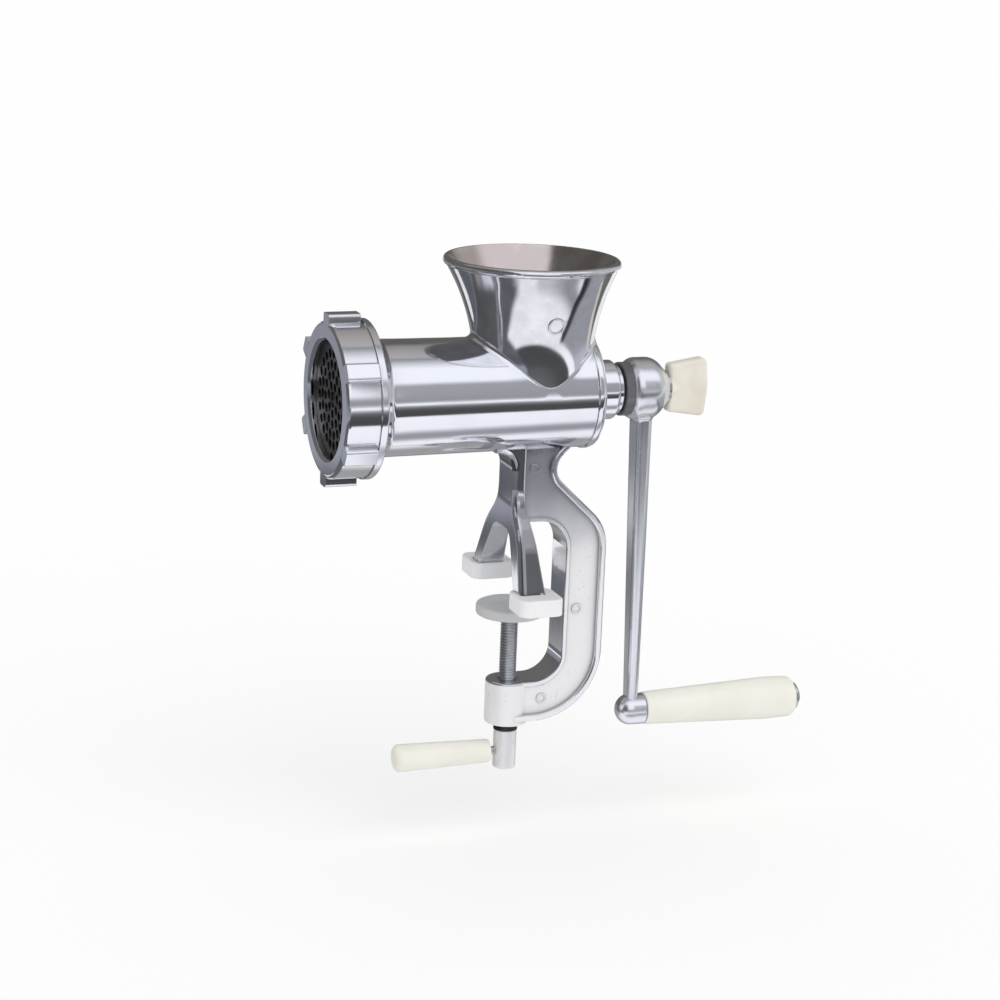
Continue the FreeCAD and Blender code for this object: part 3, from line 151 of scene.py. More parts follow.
class ShaderGraph:
    """Builds one node tree from node types, settings and socket values."""

    EVEN: ClassVar[Triple] = (1.0, 1.0, 1.0)
    SAMPLES: ClassVar[int] = 6

    def __init__(self, tree: bpy.types.NodeTree) -> None:
        """Start from an empty tree.

        Args:
            tree: Node tree of a material or of the world.
        """
        self.tree = tree
        tree.nodes.clear()

    @staticmethod
    def find(sockets: Iterable[bpy.types.NodeSocket], name: str) -> bpy.types.NodeSocket:
        """Socket with a given identifier, or else with a given name.

        Args:
            sockets: Inputs or outputs of one node.
            name: Identifier or name to look for.

        Returns:
            The first match.
        """
        choices = list(sockets)
        for socket in choices:
            if socket.identifier == name:
                return socket
        return next(socket for socket in choices if socket.name == name)

    def node(self, kind: str, settings: Mapping[str, Any] | None = None,
             inputs: Mapping[str, Socket] | None = None, output: str | None = None) -> Value:
        """Add a node, set it up, then fill or link its inputs.

        Args:
            kind: Node type.
            settings: Properties of the node, and for a ramp its stops as (position, colour).
            inputs: Numbers, colours or links by socket name.
            output: Output to hand back, the first one if not given.

        Returns:
            The chosen output.
        """
        made = self.tree.nodes.new(kind)
        for name, setting in (settings or {}).items():
            if name == "stops":
                self.set_stops(made.color_ramp, setting)
            else:
                setattr(made, name, setting)
        for name, value in (inputs or {}).items():
            socket = self.find(made.inputs, name)
            if isinstance(value, Value):
                self.tree.links.new(value.socket, socket)
            elif isinstance(socket.default_value, float) or not isinstance(value, tuple):
                socket.default_value = value
            else:
                socket.default_value = (*value, 1.0)[:len(socket.default_value)]
        if not made.outputs:
            return Value(self, None)
        return Value(self, self.find(made.outputs, output) if output else made.outputs[0])

    @staticmethod
    def set_stops(ramp: bpy.types.ColorRamp, stops: Sequence[Stop]) -> None:
        """Give a colour ramp its stops, in rising order.

        Args:
            ramp: Ramp with its two first elements.
            stops: Pairs of position and colour.
        """
        while len(ramp.elements) < len(stops):
            ramp.elements.new(1.0)
        for element, (position, colour) in zip(ramp.elements, stops):
            element.position = position
            element.color = (*colour, 1.0)

    def math(self, operation: str, first: Socket, second: Socket = 0.0) -> Value:
        """One Math node on two values or numbers."""
        return self.node("ShaderNodeMath", {"operation": operation},
                         {"Value": first, "Value_001": second})

    def place(self, stretch: Triple = EVEN) -> Value:
        """Object coordinates, stretched for a pattern."""
        coordinates = self.node("ShaderNodeTexCoord", output="Object")
        return self.node("ShaderNodeMapping", None, {"Vector": coordinates, "Scale": stretch})

    def facing(self) -> tuple[Value, Value, Value]:
        """How far a face looks along X, along Y and up."""
        return self.split(self.node("ShaderNodeTexCoord", output="Normal"))

    def clouds(self, pattern: Pattern, stretch: Triple = EVEN) -> Value:
        """Values of a pattern, stretched into lines or streaks if asked."""
        return self.node("ShaderNodeTexNoise", None,
                         {"Vector": self.place(stretch), "Scale": pattern.scale,
                          "Detail": pattern.detail, "Roughness": pattern.rough})

    def patches(self, pattern: Pattern, stretch: Triple = EVEN) -> Value:
        """Patches of a pattern: 1 within them, 0 elsewhere."""
        return self.rise(self.clouds(pattern, stretch), pattern.fade)

    def ease(self, value: Value, limits: Limits, start: float, end: float) -> Value:
        """Smooth step of a value between two limits, from a start to an end."""
        low, high = limits
        return self.node("ShaderNodeMapRange", {"interpolation_type": "SMOOTHSTEP"},
                         {"Value": value, "From Min": low, "From Max": high,
                          "To Min": start, "To Max": end})

    def rise(self, value: Value, limits: Limits) -> Value:
        """Mask that goes from 0 below the limits to 1 above them."""
        return self.ease(value, limits, 0.0, 1.0)

    def fall(self, value: Value, limits: Limits) -> Value:
        """Mask that goes from 1 below the limits to 0 above them."""
        return self.ease(value, limits, 1.0, 0.0)

    def blend(self, factor: Socket, first: Socket, second: Socket, mode: str = "MIX") -> Value:
        """Colour between two colours."""
        return self.node("ShaderNodeMix", {"data_type": "RGBA", "blend_type": mode},
                         {"Factor_Float": factor, "A_Color": first, "B_Color": second},
                         "Result_Color")

    def soft_edges(self, radius: float) -> Value:
        """Normal that rounds sharp edges a little."""
        return self.node("ShaderNodeBevel", {"samples": self.SAMPLES}, {"Radius": radius})

    def corners(self, distance: float) -> Value:
        """How open a point is: 0 deep in a corner, 1 in the open."""
        return self.node("ShaderNodeAmbientOcclusion", {"samples": self.SAMPLES},
                         {"Distance": distance}, "AO")

    def relief(self, height: Value, depth: float, under: Value) -> Value:
        """Normal with a bump of a given depth in metres over another normal."""
        return self.node("ShaderNodeBump", None,
                         {"Strength": 1.0, "Distance": depth, "Height": height, "Normal": under})

    def split(self, vector: Value) -> tuple[Value, Value, Value]:
        """The three parts of a vector as separate values."""
        parts = self.node("ShaderNodeSeparateXYZ", None, {"Vector": vector})
        return parts.out("X"), parts.out("Y"), parts.out("Z")

    def ramp(self, value: Value, stops: Sequence[Stop]) -> Value:
        """Colour that follows a value from 0 to 1 through its stops."""
        return self.node("ShaderNodeValToRGB", {"stops": stops}, {"Fac": value})

    def grey(self, value: Value) -> Value:
        """Grey colour of a given brightness."""
        return self.node("ShaderNodeCombineColor", None, {"Red": value, "Green": value, "Blue": value})

    def rays(self) -> tuple[Value, Value]:
        """Whether the camera looks straight at a point, and whether metal or glass shows it."""
        kinds = self.node("ShaderNodeLightPath")
        return kinds.out("Is Camera Ray"), kinds.out("Is Glossy Ray") + kinds.out("Is Transmission Ray")


# Patterns, depths and colours that several finishes share.
BUFFING_LINES = Pattern(1.0, 3.0, 0.7)
TURNING_MARKS = Pattern(1.0, 3.0, 0.65)
CAST_GRAIN = Pattern(1500.0, 2.0, 0.6)
CAST_GRAIN_DEPTH = 0.00003
CAST_GRAIN_SPREAD = 0.14
CAST_PITS = Pattern(520.0, 1.0, fade=(0.68, 0.78))
PIT_TINT: Colour = (0.50, 0.50, 0.53)
PIT_WEIGHT = 0.30


@dataclass(frozen=True)
class Finish:
    """Shared parts of every surface finish.

    Attributes:
        name: Name of the material.
        edge_round: Radius over which the shading softens sharp edges.
    """

    name: str
    edge_round: float = 0.0005

    def material(self) -> bpy.types.Material:
        """Make a material with this finish.

        Returns:
            The new material.
        """
        made = bpy.data.materials.new(self.name)
        made.use_nodes = True
        graph = ShaderGraph(made.node_tree)
        shader = graph.node("ShaderNodeBsdfPrincipled", None, self.surface(graph))
        graph.node("ShaderNodeOutputMaterial", None, {"Surface": shader})
        return made

    def surface(self, graph: ShaderGraph) -> dict[str, Socket]:
        """Inputs of the surface shader, which each finish gives in its own way.

        Args:
            graph: Tree of the material.

        Returns:
            Numbers, colours and links by socket name.
        """
        raise NotImplementedError


@dataclass(frozen=True)
class BuffedCasting(Finish):
    """Cast aluminium, buffed until it mirrors, with slow waves and fine scratches.

    Attributes:
        tint: Colour of the clean metal.
        smudge_tint: Colour of the smudges.
        smudge_weight: How strong that colour is.
        smudges: Pattern of the smudges.
        gloss: Roughness where it is cleanest.
        dulling: Roughness that smudges and buffing lines each add.
        waves: Pattern of the slow waves that hand buffing leaves.
        wave_depth: Depth of the waves.
        lines: Stretch of the buffing lines along each axis.
        line_depth: Depth of the buffing lines.
        corner_reach: How far from a corner the painted corner shade reaches.
        corner_fade: How open a point is where the painted shade starts and ends.
        corner_shade_level: Brightness that the painted shade leaves deep in a corner.
    """

    tint: Colour = (0.89, 0.90, 0.94)
    smudge_tint: Colour = (0.62, 0.62, 0.65)
    smudge_weight: float = 0.12
    smudges: Pattern = Pattern(38.0, 3.0, fade=(0.38, 0.72))
    gloss: float = 0.05
    dulling: float = 0.035
    waves: Pattern = Pattern(46.0, 1.0)
    wave_depth: float = 0.00006
    lines: Triple = (60.0, 1400.0, 1400.0)
    line_depth: float = 0.000003
    corner_reach: float = 0.005
    corner_fade: Limits = (0.35, 0.95)
    corner_shade_level: float = 0.48

    def surface(self, graph: ShaderGraph) -> dict[str, Socket]:
        """Buffed metal, with painted shade in its corners, duller where it is smudged.

        Args:
            graph: Tree of the material.

        Returns:
            Numbers, colours and links by socket name.
        """
        smudges = graph.patches(self.smudges)
        lines = graph.clouds(BUFFING_LINES, self.lines)
        return {
            "Base Color": self.with_painted_corner_shade(graph, self.smudged(graph, smudges)),
            "Metallic": 1.0,
            "Roughness": self.buffed(smudges, lines),
            "Normal": graph.relief(lines, self.line_depth, self.waved(graph)),
        }

    def smudged(self, graph: ShaderGraph, smudges: Value) -> Value:
        """Colour of the buffed metal with its smudges."""
        return graph.blend(smudges * self.smudge_weight, self.tint, self.smudge_tint)

    def buffed(self, smudges: Value, lines: Value) -> Value:
        """Roughness of the buffed metal."""
        return self.gloss + smudges * self.dulling + lines * self.dulling

    def waved(self, graph: ShaderGraph) -> Value:
        """Normal with the slow waves and softened edges."""
        return graph.relief(graph.clouds(self.waves), self.wave_depth, graph.soft_edges(self.edge_round))

    def with_painted_corner_shade(self, graph: ShaderGraph, colour: Value) -> Value:
        """Colour darkened by painted shade in the corners."""
        # Painted shade: ambient occlusion darkens the base colour in corners and creases.
        level = graph.ease(graph.corners(self.corner_reach), self.corner_fade, self.corner_shade_level, 1.0)
        return graph.blend(1.0, colour, graph.grey(level), "MULTIPLY")


@dataclass(frozen=True)
class BodyCasting(BuffedCasting):
    """The body: buffed but for the tumbled flat sides of the clamp frame and its tumbled boss.

    Attributes:
        satin_tint: Colour of the tumbled metal.
        waist_shade_tint: Painted shade on the flat sides higher up, darker toward the barrel above them.
        satin: Roughness of the tumbled metal.
        satin_metal: How metallic its pale skin looks.
        satin_rise: Heights under which the flat sides are fully tumbled and over which they are buffed.
        satin_border: Pattern that makes that border wander.
        satin_wander: How far it wanders.
        blur_rise: How much higher up the flat sides lose their gloss than their colour.
        flat_side: How far a face of the frame looks sideways where the flat side starts and ends.
        column_back: Place along X behind which the flat sides of the frame start.
        edge_fade: Width over which one finish turns into the other at an edge.
        boss_top: Height of the boss under which it is tumbled all round.
        boss_reach: How far the boss reaches towards the back of the frame, with the end of its fade.
        boss_cap: How far up a face of the boss looks where the tumbled skin ends.
        column_top: Heights under which the column and the legs are streaked.
        streaks: Pattern of the upright streaks.
        streak_stretch: Stretch of the streaks along each axis.
        streak_depth: Depth of the streaks.
        streak_dulling: Roughness that they add.
        line_share: Height of the buffing lines as a share of the grain's.
        hopper_foot: Height over which the hopper is duller.
        hopper_rise: Height over which that dullness fades in.
        hopper_tint: Colour of the duller metal.
        mottle: Pattern of the duller metal.
        painted_dark_tint: Colour of the painted dark reflection on the legs' outer sides and the painted
            shade under the barrel.
        leg_evenness: Least strength of that painted dark, which the clouds raise to full.
        leg_lean: How far up the legs' outer sides look where they start and end.
        leg_side: How far sideways they look.
        leg_foot: Heights over which they start.
        leg_top: Heights over which they end.
        hollow_lean: How far down the hollow under the barrel looks.
        hollow_back: Places along X over which it ends.
        hollow_foot: Heights over which it starts.
        hollow_top: Heights over which it ends.
        hopper_axis: Place along X of the hopper's axis.
        inside_facing: How far faces look away from that axis where the hopper's inside starts and ends.
        inside_rise: Height below the hopper's foot over which the inside fades in.
        inside_reflection_tints: Colours of the painted reflection inside the hopper.
        inside_fade: Values of the smudges between which one painted colour turns into the other.
        inside_dulling: Roughness that the hopper's inside adds.
    """

    satin_tint: Colour = (0.93, 0.93, 0.945)
    waist_shade_tint: Colour = (0.45, 0.455, 0.50)
    satin: float = 0.42
    satin_metal: float = 0.22
    satin_rise: Limits = (0.012, 0.066)
    satin_border: Pattern = Pattern(60.0)
    satin_wander: float = 0.02
    blur_rise: float = 0.036
    flat_side: Limits = (0.92, 0.98)
    column_back: float = 0.0025
    edge_fade: float = 0.0008
    boss_top: float = -0.0466
    boss_reach: Limits = (0.0120, 0.0125)
    boss_cap: Limits = (0.3, 0.7)
    column_top: Limits = (0.070, 0.074)
    streaks: Pattern = Pattern(1.0)
    streak_stretch: Triple = (300.0, 300.0, 9.0)
    streak_depth: float = 0.00006
    streak_dulling: float = 0.03
    line_share: float = 0.10
    hopper_foot: float = 0.128
    hopper_rise: float = 0.004
    hopper_tint: Colour = (0.74, 0.745, 0.77)
    mottle: Pattern = Pattern(90.0, 4.0, 0.6, fade=(0.25, 0.65))
    painted_dark_tint: Colour = (0.20, 0.20, 0.21)
    leg_evenness: float = 0.75
    leg_lean: Limits = (0.08, 0.18)
    leg_side: Limits = (0.60, 0.78)
    leg_foot: Limits = (0.004, 0.008)
    leg_top: Limits = (0.046, 0.054)
    hollow_lean: Limits = (-0.06, -0.015)
    hollow_back: Limits = (0.002, 0.006)
    hollow_foot: Limits = (0.052, 0.058)
    hollow_top: Limits = (0.0735, 0.0755)
    hopper_axis: float = 0.0050
    inside_facing: Limits = (-0.008, -0.002)
    inside_rise: float = 0.010
    inside_reflection_tints: tuple[Colour, Colour] = ((0.62, 0.54, 0.52), (0.74, 0.72, 0.66))
    inside_fade: Limits = (0.40, 0.60)
    inside_dulling: float = 0.10

    def surface(self, graph: ShaderGraph) -> dict[str, Socket]:
        """Buffed barrel, hopper and legs, with tumbled sides on the clamp frame.

        Args:
            graph: Tree of the material.

        Returns:
            Numbers, colours and links by socket name.
        """
        across, along, height = graph.split(graph.place())
        satin = self.tumbled(graph, across, height)
        blurred = self.tumbled(graph, across, height - self.blur_rise)
        inside = self.hopper_inside(graph, across, along, height)
        streaked = graph.fall(height, self.column_top)
        clouds = graph.clouds(self.smudges)
        smudges = graph.rise(clouds, self.smudges.fade)
        lines = graph.clouds(BUFFING_LINES, self.lines)
        grain = graph.clouds(CAST_GRAIN)
        dull = graph.rise(height, (self.hopper_foot, self.hopper_foot + self.hopper_rise))
        mottled = dull * graph.patches(self.mottle)
        colour = graph.blend(mottled, self.smudged(graph, smudges), self.hopper_tint)
        uneven = self.leg_evenness + (1.0 - self.leg_evenness) * clouds
        # Painted dark reflection on the legs' outer sides and painted shade under the barrel, broken up by
        # clouds.
        colour = graph.blend(self.painted_dark_places(graph, across, height) * uneven, colour, self.painted_dark_tint)
        # Painted reflection: the warm and olive colours inside the hopper stand for the surroundings that it
        # mirrors.
        stain = graph.blend(graph.rise(clouds, self.inside_fade), *self.inside_reflection_tints)
        # Painted shade: higher up, the frame's flat sides darken toward the barrel above them.
        colour = graph.blend(blurred, graph.blend(inside, colour, stain), self.waist_shade_tint)
        colour = graph.blend(satin, colour, self.satin_tint)
        colour = graph.blend(graph.patches(CAST_PITS) * satin * PIT_WEIGHT, colour, PIT_TINT)
        streaks = graph.clouds(self.streaks, self.streak_stretch) * streaked * (1.0 - satin)
        combed = graph.relief(streaks, self.streak_depth, self.waved(graph))
        buffed = self.buffed(smudges, lines) + streaked * self.streak_dulling + inside * self.inside_dulling
        rough = self.satin + (grain - Pattern.MEAN) * CAST_GRAIN_SPREAD
        return {
            "Base Color": self.with_painted_corner_shade(graph, colour),
            "Metallic": 1.0 - satin * (1.0 - self.satin_metal),
            "Roughness": buffed + (rough - buffed) * blurred,
            "Normal": graph.relief(grain * satin + lines * self.line_share, CAST_GRAIN_DEPTH, combed),
        }

    def hopper_inside(self, graph: ShaderGraph, across: Value, along: Value, height: Value) -> Value:
        """Where the hopper's inside lies: 1 on faces over the barrel that look at its axis, 0 elsewhere.

        Args:
            graph: Tree to build in.
            across: Place along X.
            along: Place along Y.
            height: Place along Z.

        Returns:
            The mask.
        """
        sideways, onward, _ = graph.facing()
        outward = (across - self.hopper_axis) * sideways + along * onward
        above = graph.rise(height, (self.hopper_foot - self.inside_rise, self.hopper_foot))
        return graph.fall(outward, self.inside_facing) * above

    def painted_dark_places(self, graph: ShaderGraph, across: Value, height: Value) -> Value:
        """Where dark is painted: a painted dark reflection on the legs' outer sides, painted shade in the
        hollow under the barrel.

        Args:
            graph: Tree to build in.
            across: Place along X.
            height: Place along Z.

        Returns:
            The mask.
        """
        _, sideways, upward = graph.facing()
        leaning = graph.rise(upward, self.leg_lean) * graph.rise(abs(sideways), self.leg_side)
        leg = leaning * graph.fall(height, self.leg_top) * graph.rise(height, self.leg_foot)
        hollow = graph.fall(upward, self.hollow_lean) * graph.fall(across, self.hollow_back)
        hollow = hollow * graph.rise(height, self.hollow_foot) * graph.fall(height, self.hollow_top)
        return graph.math("MAXIMUM", leg, hollow)

    def tumbled(self, graph: ShaderGraph, across: Value, height: Value) -> Value:
        """Where the metal is tumbled: 1 on the frame's flat sides and the boss, 0 where it is buffed.

        Args:
            graph: Tree to build in.
            across: Place along X.
            height: Place along Z.

        Returns:
            The mask.
        """
        _, sideways, upward = graph.facing()
        wander = (graph.clouds(self.satin_border) - Pattern.MEAN) * self.satin_wander
        side = graph.rise(abs(sideways), self.flat_side) * graph.fall(height + wander, self.satin_rise)
        side = side * graph.rise(across, (self.column_back - self.edge_fade, self.column_back))
        below = graph.fall(height, (self.boss_top - self.edge_fade, self.boss_top))
        boss = graph.fall(across, self.boss_reach) * below * graph.fall(upward, self.boss_cap)
        return graph.math("MAXIMUM", side, boss)


@dataclass(frozen=True)
class TumbledCasting(Finish):
    """Cast aluminium that is tumbled but not buffed.

    Attributes:
        tint: Colour of the metal.
        roughness: Mean roughness.
        metal: How metallic its pale skin looks.
    """

    tint: Colour = (0.88, 0.88, 0.89)
    roughness: float = 0.42
    metal: float = 0.5

    def surface(self, graph: ShaderGraph) -> dict[str, Socket]:
        """Satin metal with fine grain and a few pits.

        Args:
            graph: Tree of the material.

        Returns:
            Numbers, colours and links by socket name.
        """
        grain = graph.clouds(CAST_GRAIN)
        return {
            "Base Color": graph.blend(graph.patches(CAST_PITS) * PIT_WEIGHT, self.tint, PIT_TINT),
            "Metallic": self.metal,
            "Roughness": self.roughness + (grain - Pattern.MEAN) * CAST_GRAIN_SPREAD,
            "Normal": graph.relief(grain, CAST_GRAIN_DEPTH, graph.soft_edges(self.edge_round)),
        }


@dataclass(frozen=True)
class TurnedSteel(Finish):
    """Steel with turning or grinding marks, more or less stained.

    Attributes:
        tint: Colour of the clean steel.
        stain: Colour of the stained patches.
        stains: Pattern of the stains.
        stain_weight: How strong their colour is.
        stain_dulling: Roughness that they add.
        roughness: Mean roughness.
        streaks: Stretch of the marks along each axis.
        mark_spread: How much the marks vary the roughness.
        mark_depth: Depth of the marks.
    """

    tint: Colour = (0.62, 0.63, 0.65)
    stain: Colour = (0.40, 0.40, 0.41)
    stains: Pattern = Pattern(130.0, 4.0, 0.6, fade=(0.42, 0.72))
    stain_weight: float = 0.7
    stain_dulling: float = 0.10
    roughness: float = 0.24
    streaks: Triple = (2200.0, 90.0, 90.0)
    mark_spread: float = 0.16
    mark_depth: float = 0.00004

    def surface(self, graph: ShaderGraph) -> dict[str, Socket]:
        """Steel with streaks in its roughness and stains in its colour.

        Args:
            graph: Tree of the material.

        Returns:
            Numbers, colours and links by socket name.
        """
        marks = graph.clouds(TURNING_MARKS, self.streaks)
        stains = graph.patches(self.stains)
        spread = (marks - Pattern.MEAN) * self.mark_spread
        return {
            "Base Color": graph.blend(stains * self.stain_weight, self.tint, self.stain),
            "Metallic": 1.0,
            "Roughness": self.roughness + spread + stains * self.stain_dulling,
            "Normal": graph.relief(marks, self.mark_depth, graph.soft_edges(self.edge_round)),
        }


@dataclass(frozen=True)
class MouldedPlastic(Finish):
    """Injection moulded plastic with a soft sheen.

    Attributes:
        tint: Colour of the plastic.
        shade: Colour of its slightly darker clouds.
        clouding: Pattern of the clouds.
        roughness: Mean roughness.
        rubbed: Pattern of the handling marks.
        rubbed_stretch: Stretch of those marks along each axis.
        rubbed_dulling: Roughness that they add.
        grain: Pattern of the mould's texture.
        grain_spread: How much that texture varies the roughness.
        grain_depth: Depth of the texture.
        glow: Weight of the light that spreads under the surface.
        glow_radius: How far each colour of that light spreads.
        glow_scale: Share of that radius.
    """

    tint: Colour = (0.85, 0.82, 0.72)
    shade: Colour = (0.80, 0.76, 0.65)
    clouding: Pattern = Pattern(60.0, 3.0, fade=(0.30, 0.70))
    roughness: float = 0.32
    rubbed: Pattern = Pattern(90.0, 4.0, 0.6, fade=(0.48, 0.70))
    rubbed_stretch: Triple = (1.0, 1.6, 1.6)
    rubbed_dulling: float = 0.10
    grain: Pattern = Pattern(2400.0, 2.0, 0.6)
    grain_spread: float = 0.08
    grain_depth: float = 0.00003
    glow: float = 0.12
    glow_radius: Triple = (0.010, 0.008, 0.005)
    glow_scale: float = 0.2

    def surface(self, graph: ShaderGraph) -> dict[str, Socket]:
        """Plastic with cloudy colour, fine texture and handling marks.

        Args:
            graph: Tree of the material.

        Returns:
            Numbers, colours and links by socket name.
        """
        grain = graph.clouds(self.grain)
        rubbed = graph.patches(self.rubbed, self.rubbed_stretch)
        spread = (grain - Pattern.MEAN) * self.grain_spread
        return {
            "Base Color": graph.blend(graph.patches(self.clouding), self.tint, self.shade),
            "Roughness": self.roughness + rubbed * self.rubbed_dulling + spread,
            "Subsurface Weight": self.glow,
            "Subsurface Radius": self.glow_radius,
            "Subsurface Scale": self.glow_scale,
            "Normal": graph.relief(grain, self.grain_depth, graph.soft_edges(self.edge_round)),
        }


class Surface(Enum):
    """Every finish on the grinder."""

    BODY = BodyCasting("body_casting")
    RING = BuffedCasting("ring_casting", wave_depth=0.00003)
    CRANK = BuffedCasting("crank_casting", gloss=0.22, wave_depth=0.00004, lines=(1400.0, 1400.0, 60.0))
    TUMBLED = TumbledCasting("tumbled_casting")
    PLATE = TurnedSteel("ground_plate", tint=(0.14, 0.135, 0.13), stain=(0.045, 0.042, 0.040),
                        roughness=0.36, streaks=(90.0, 700.0, 700.0))
    STEEL = TurnedSteel("turned_steel")
    SCREW = TurnedSteel("threaded_steel", tint=(0.66, 0.67, 0.70), stain=(0.42, 0.43, 0.45),
                        roughness=0.36, streaks=(300.0, 300.0, 1800.0))
    BLACK = TurnedSteel("blackened_steel", tint=(0.06, 0.06, 0.065), stain=(0.03, 0.03, 0.03), roughness=0.36)
    BRONZE = TurnedSteel("sintered_bronze", tint=(0.62, 0.45, 0.23), stain=(0.42, 0.30, 0.16), roughness=0.40)
    DARK = MouldedPlastic("dark_moulding", tint=(0.170, 0.170, 0.185), shade=(0.100, 0.100, 0.110),
                          roughness=0.24, glow=0.0)
    CREAM = MouldedPlastic("cream_moulding", tint=(0.92, 0.91, 0.83), shade=(0.88, 0.86, 0.77))
    WING = MouldedPlastic("wing_moulding", tint=(0.88, 0.84, 0.74), shade=(0.74, 0.70, 0.60),
                          roughness=0.38, clouding=Pattern(45.0, 3.0, fade=(0.30, 0.70)))
    WHITE = MouldedPlastic("white_moulding", tint=(0.92, 0.92, 0.935), shade=(0.87, 0.87, 0.89),
                           roughness=0.42)
    GREY = MouldedPlastic("grey_moulding", tint=(0.60, 0.61, 0.62), shade=(0.54, 0.55, 0.56), roughness=0.45)

    @functools.cache
    def material(self) -> bpy.types.Material:
        """The material with this finish, made once."""
        return self.value.material()


def deselect_all() -> None:
    """Leave no object selected, so that an operator only acts on what is chosen next."""
    if bpy.context.object is not None and bpy.context.object.mode != "OBJECT":
        bpy.ops.object.mode_set(mode="OBJECT")
    bpy.ops.object.select_all(action="DESELECT")


def select_faces(mesh: bpy.types.Mesh, choose: Callable[[bpy.types.MeshPolygon], bool]) -> None:
    """Select only the faces of a mesh that a test picks, from object mode.

    Args:
        mesh: Mesh of the object that is being modelled.
        choose: Test on a face, by its place or normal.
    """
    for vertex in mesh.vertices:
        vertex.select = False
    for edge in mesh.edges:
        edge.select = False
    for face in mesh.polygons:
        face.select = choose(face)


def apply_place(piece: bpy.types.Object) -> None:
    """Move a piece's place into its mesh."""
    deselect_all()
    piece.select_set(True)
    bpy.context.view_layer.objects.active = piece
    bpy.ops.object.transform_apply(location=True, rotation=True, scale=True)


def dress(node: str, surface: Surface) -> None:
    """Give a carried-over node its finish.

    Args:
        node: Name of the node.
        surface: Finish for all of its faces.
    """
    for slot in frame["nodes"][node].material_slots:
        slot.material = surface.material()
    LOG.info("%s: %s", node, surface.value.name)


class SubAssembly:
    """A group of nodes that are dressed together, with any new pieces that belong to it."""

    FINISHES: ClassVar[Mapping[Surface, tuple[str, ...]]] = {}

    def build(self) -> None:
        """Model the group's new pieces, if it has any."""

    def dress(self) -> None:
        """Give every carried-over node of the group its finish."""
        for surface, nodes in self.FINISHES.items():
            for node in nodes:
                dress(node, surface)


class GrindingHead(SubAssembly):
    """Casting with barrel and hopper, ring nut, plate, and what turns inside."""

    FINISHES = {
        Surface.BODY: ("body_casting",),
        Surface.RING: ("ring_nut",),
        Surface.PLATE: ("cutter_plate", "cutter_knife"),
        Surface.TUMBLED: ("auger",),
        Surface.STEEL: ("plate_key_pin", "auger_front_stud", "auger_rear_shaft", "thrust_washer"),
        Surface.BRONZE: ("rear_bush",),
    }


class Crank(SubAssembly):
    """Crank arm with its thumb screw and grip."""

    FINISHES = {
        Surface.CRANK: ("crank_arm",),
        Surface.DARK: ("crank_spacer_washer",),
        Surface.STEEL: ("thumb_screw_washer", "thumb_screw_stud", "grip_spindle", "grip_washer"),
        Surface.WING: ("thumb_screw_wing",),
        Surface.CREAM: ("crank_grip",),
    }


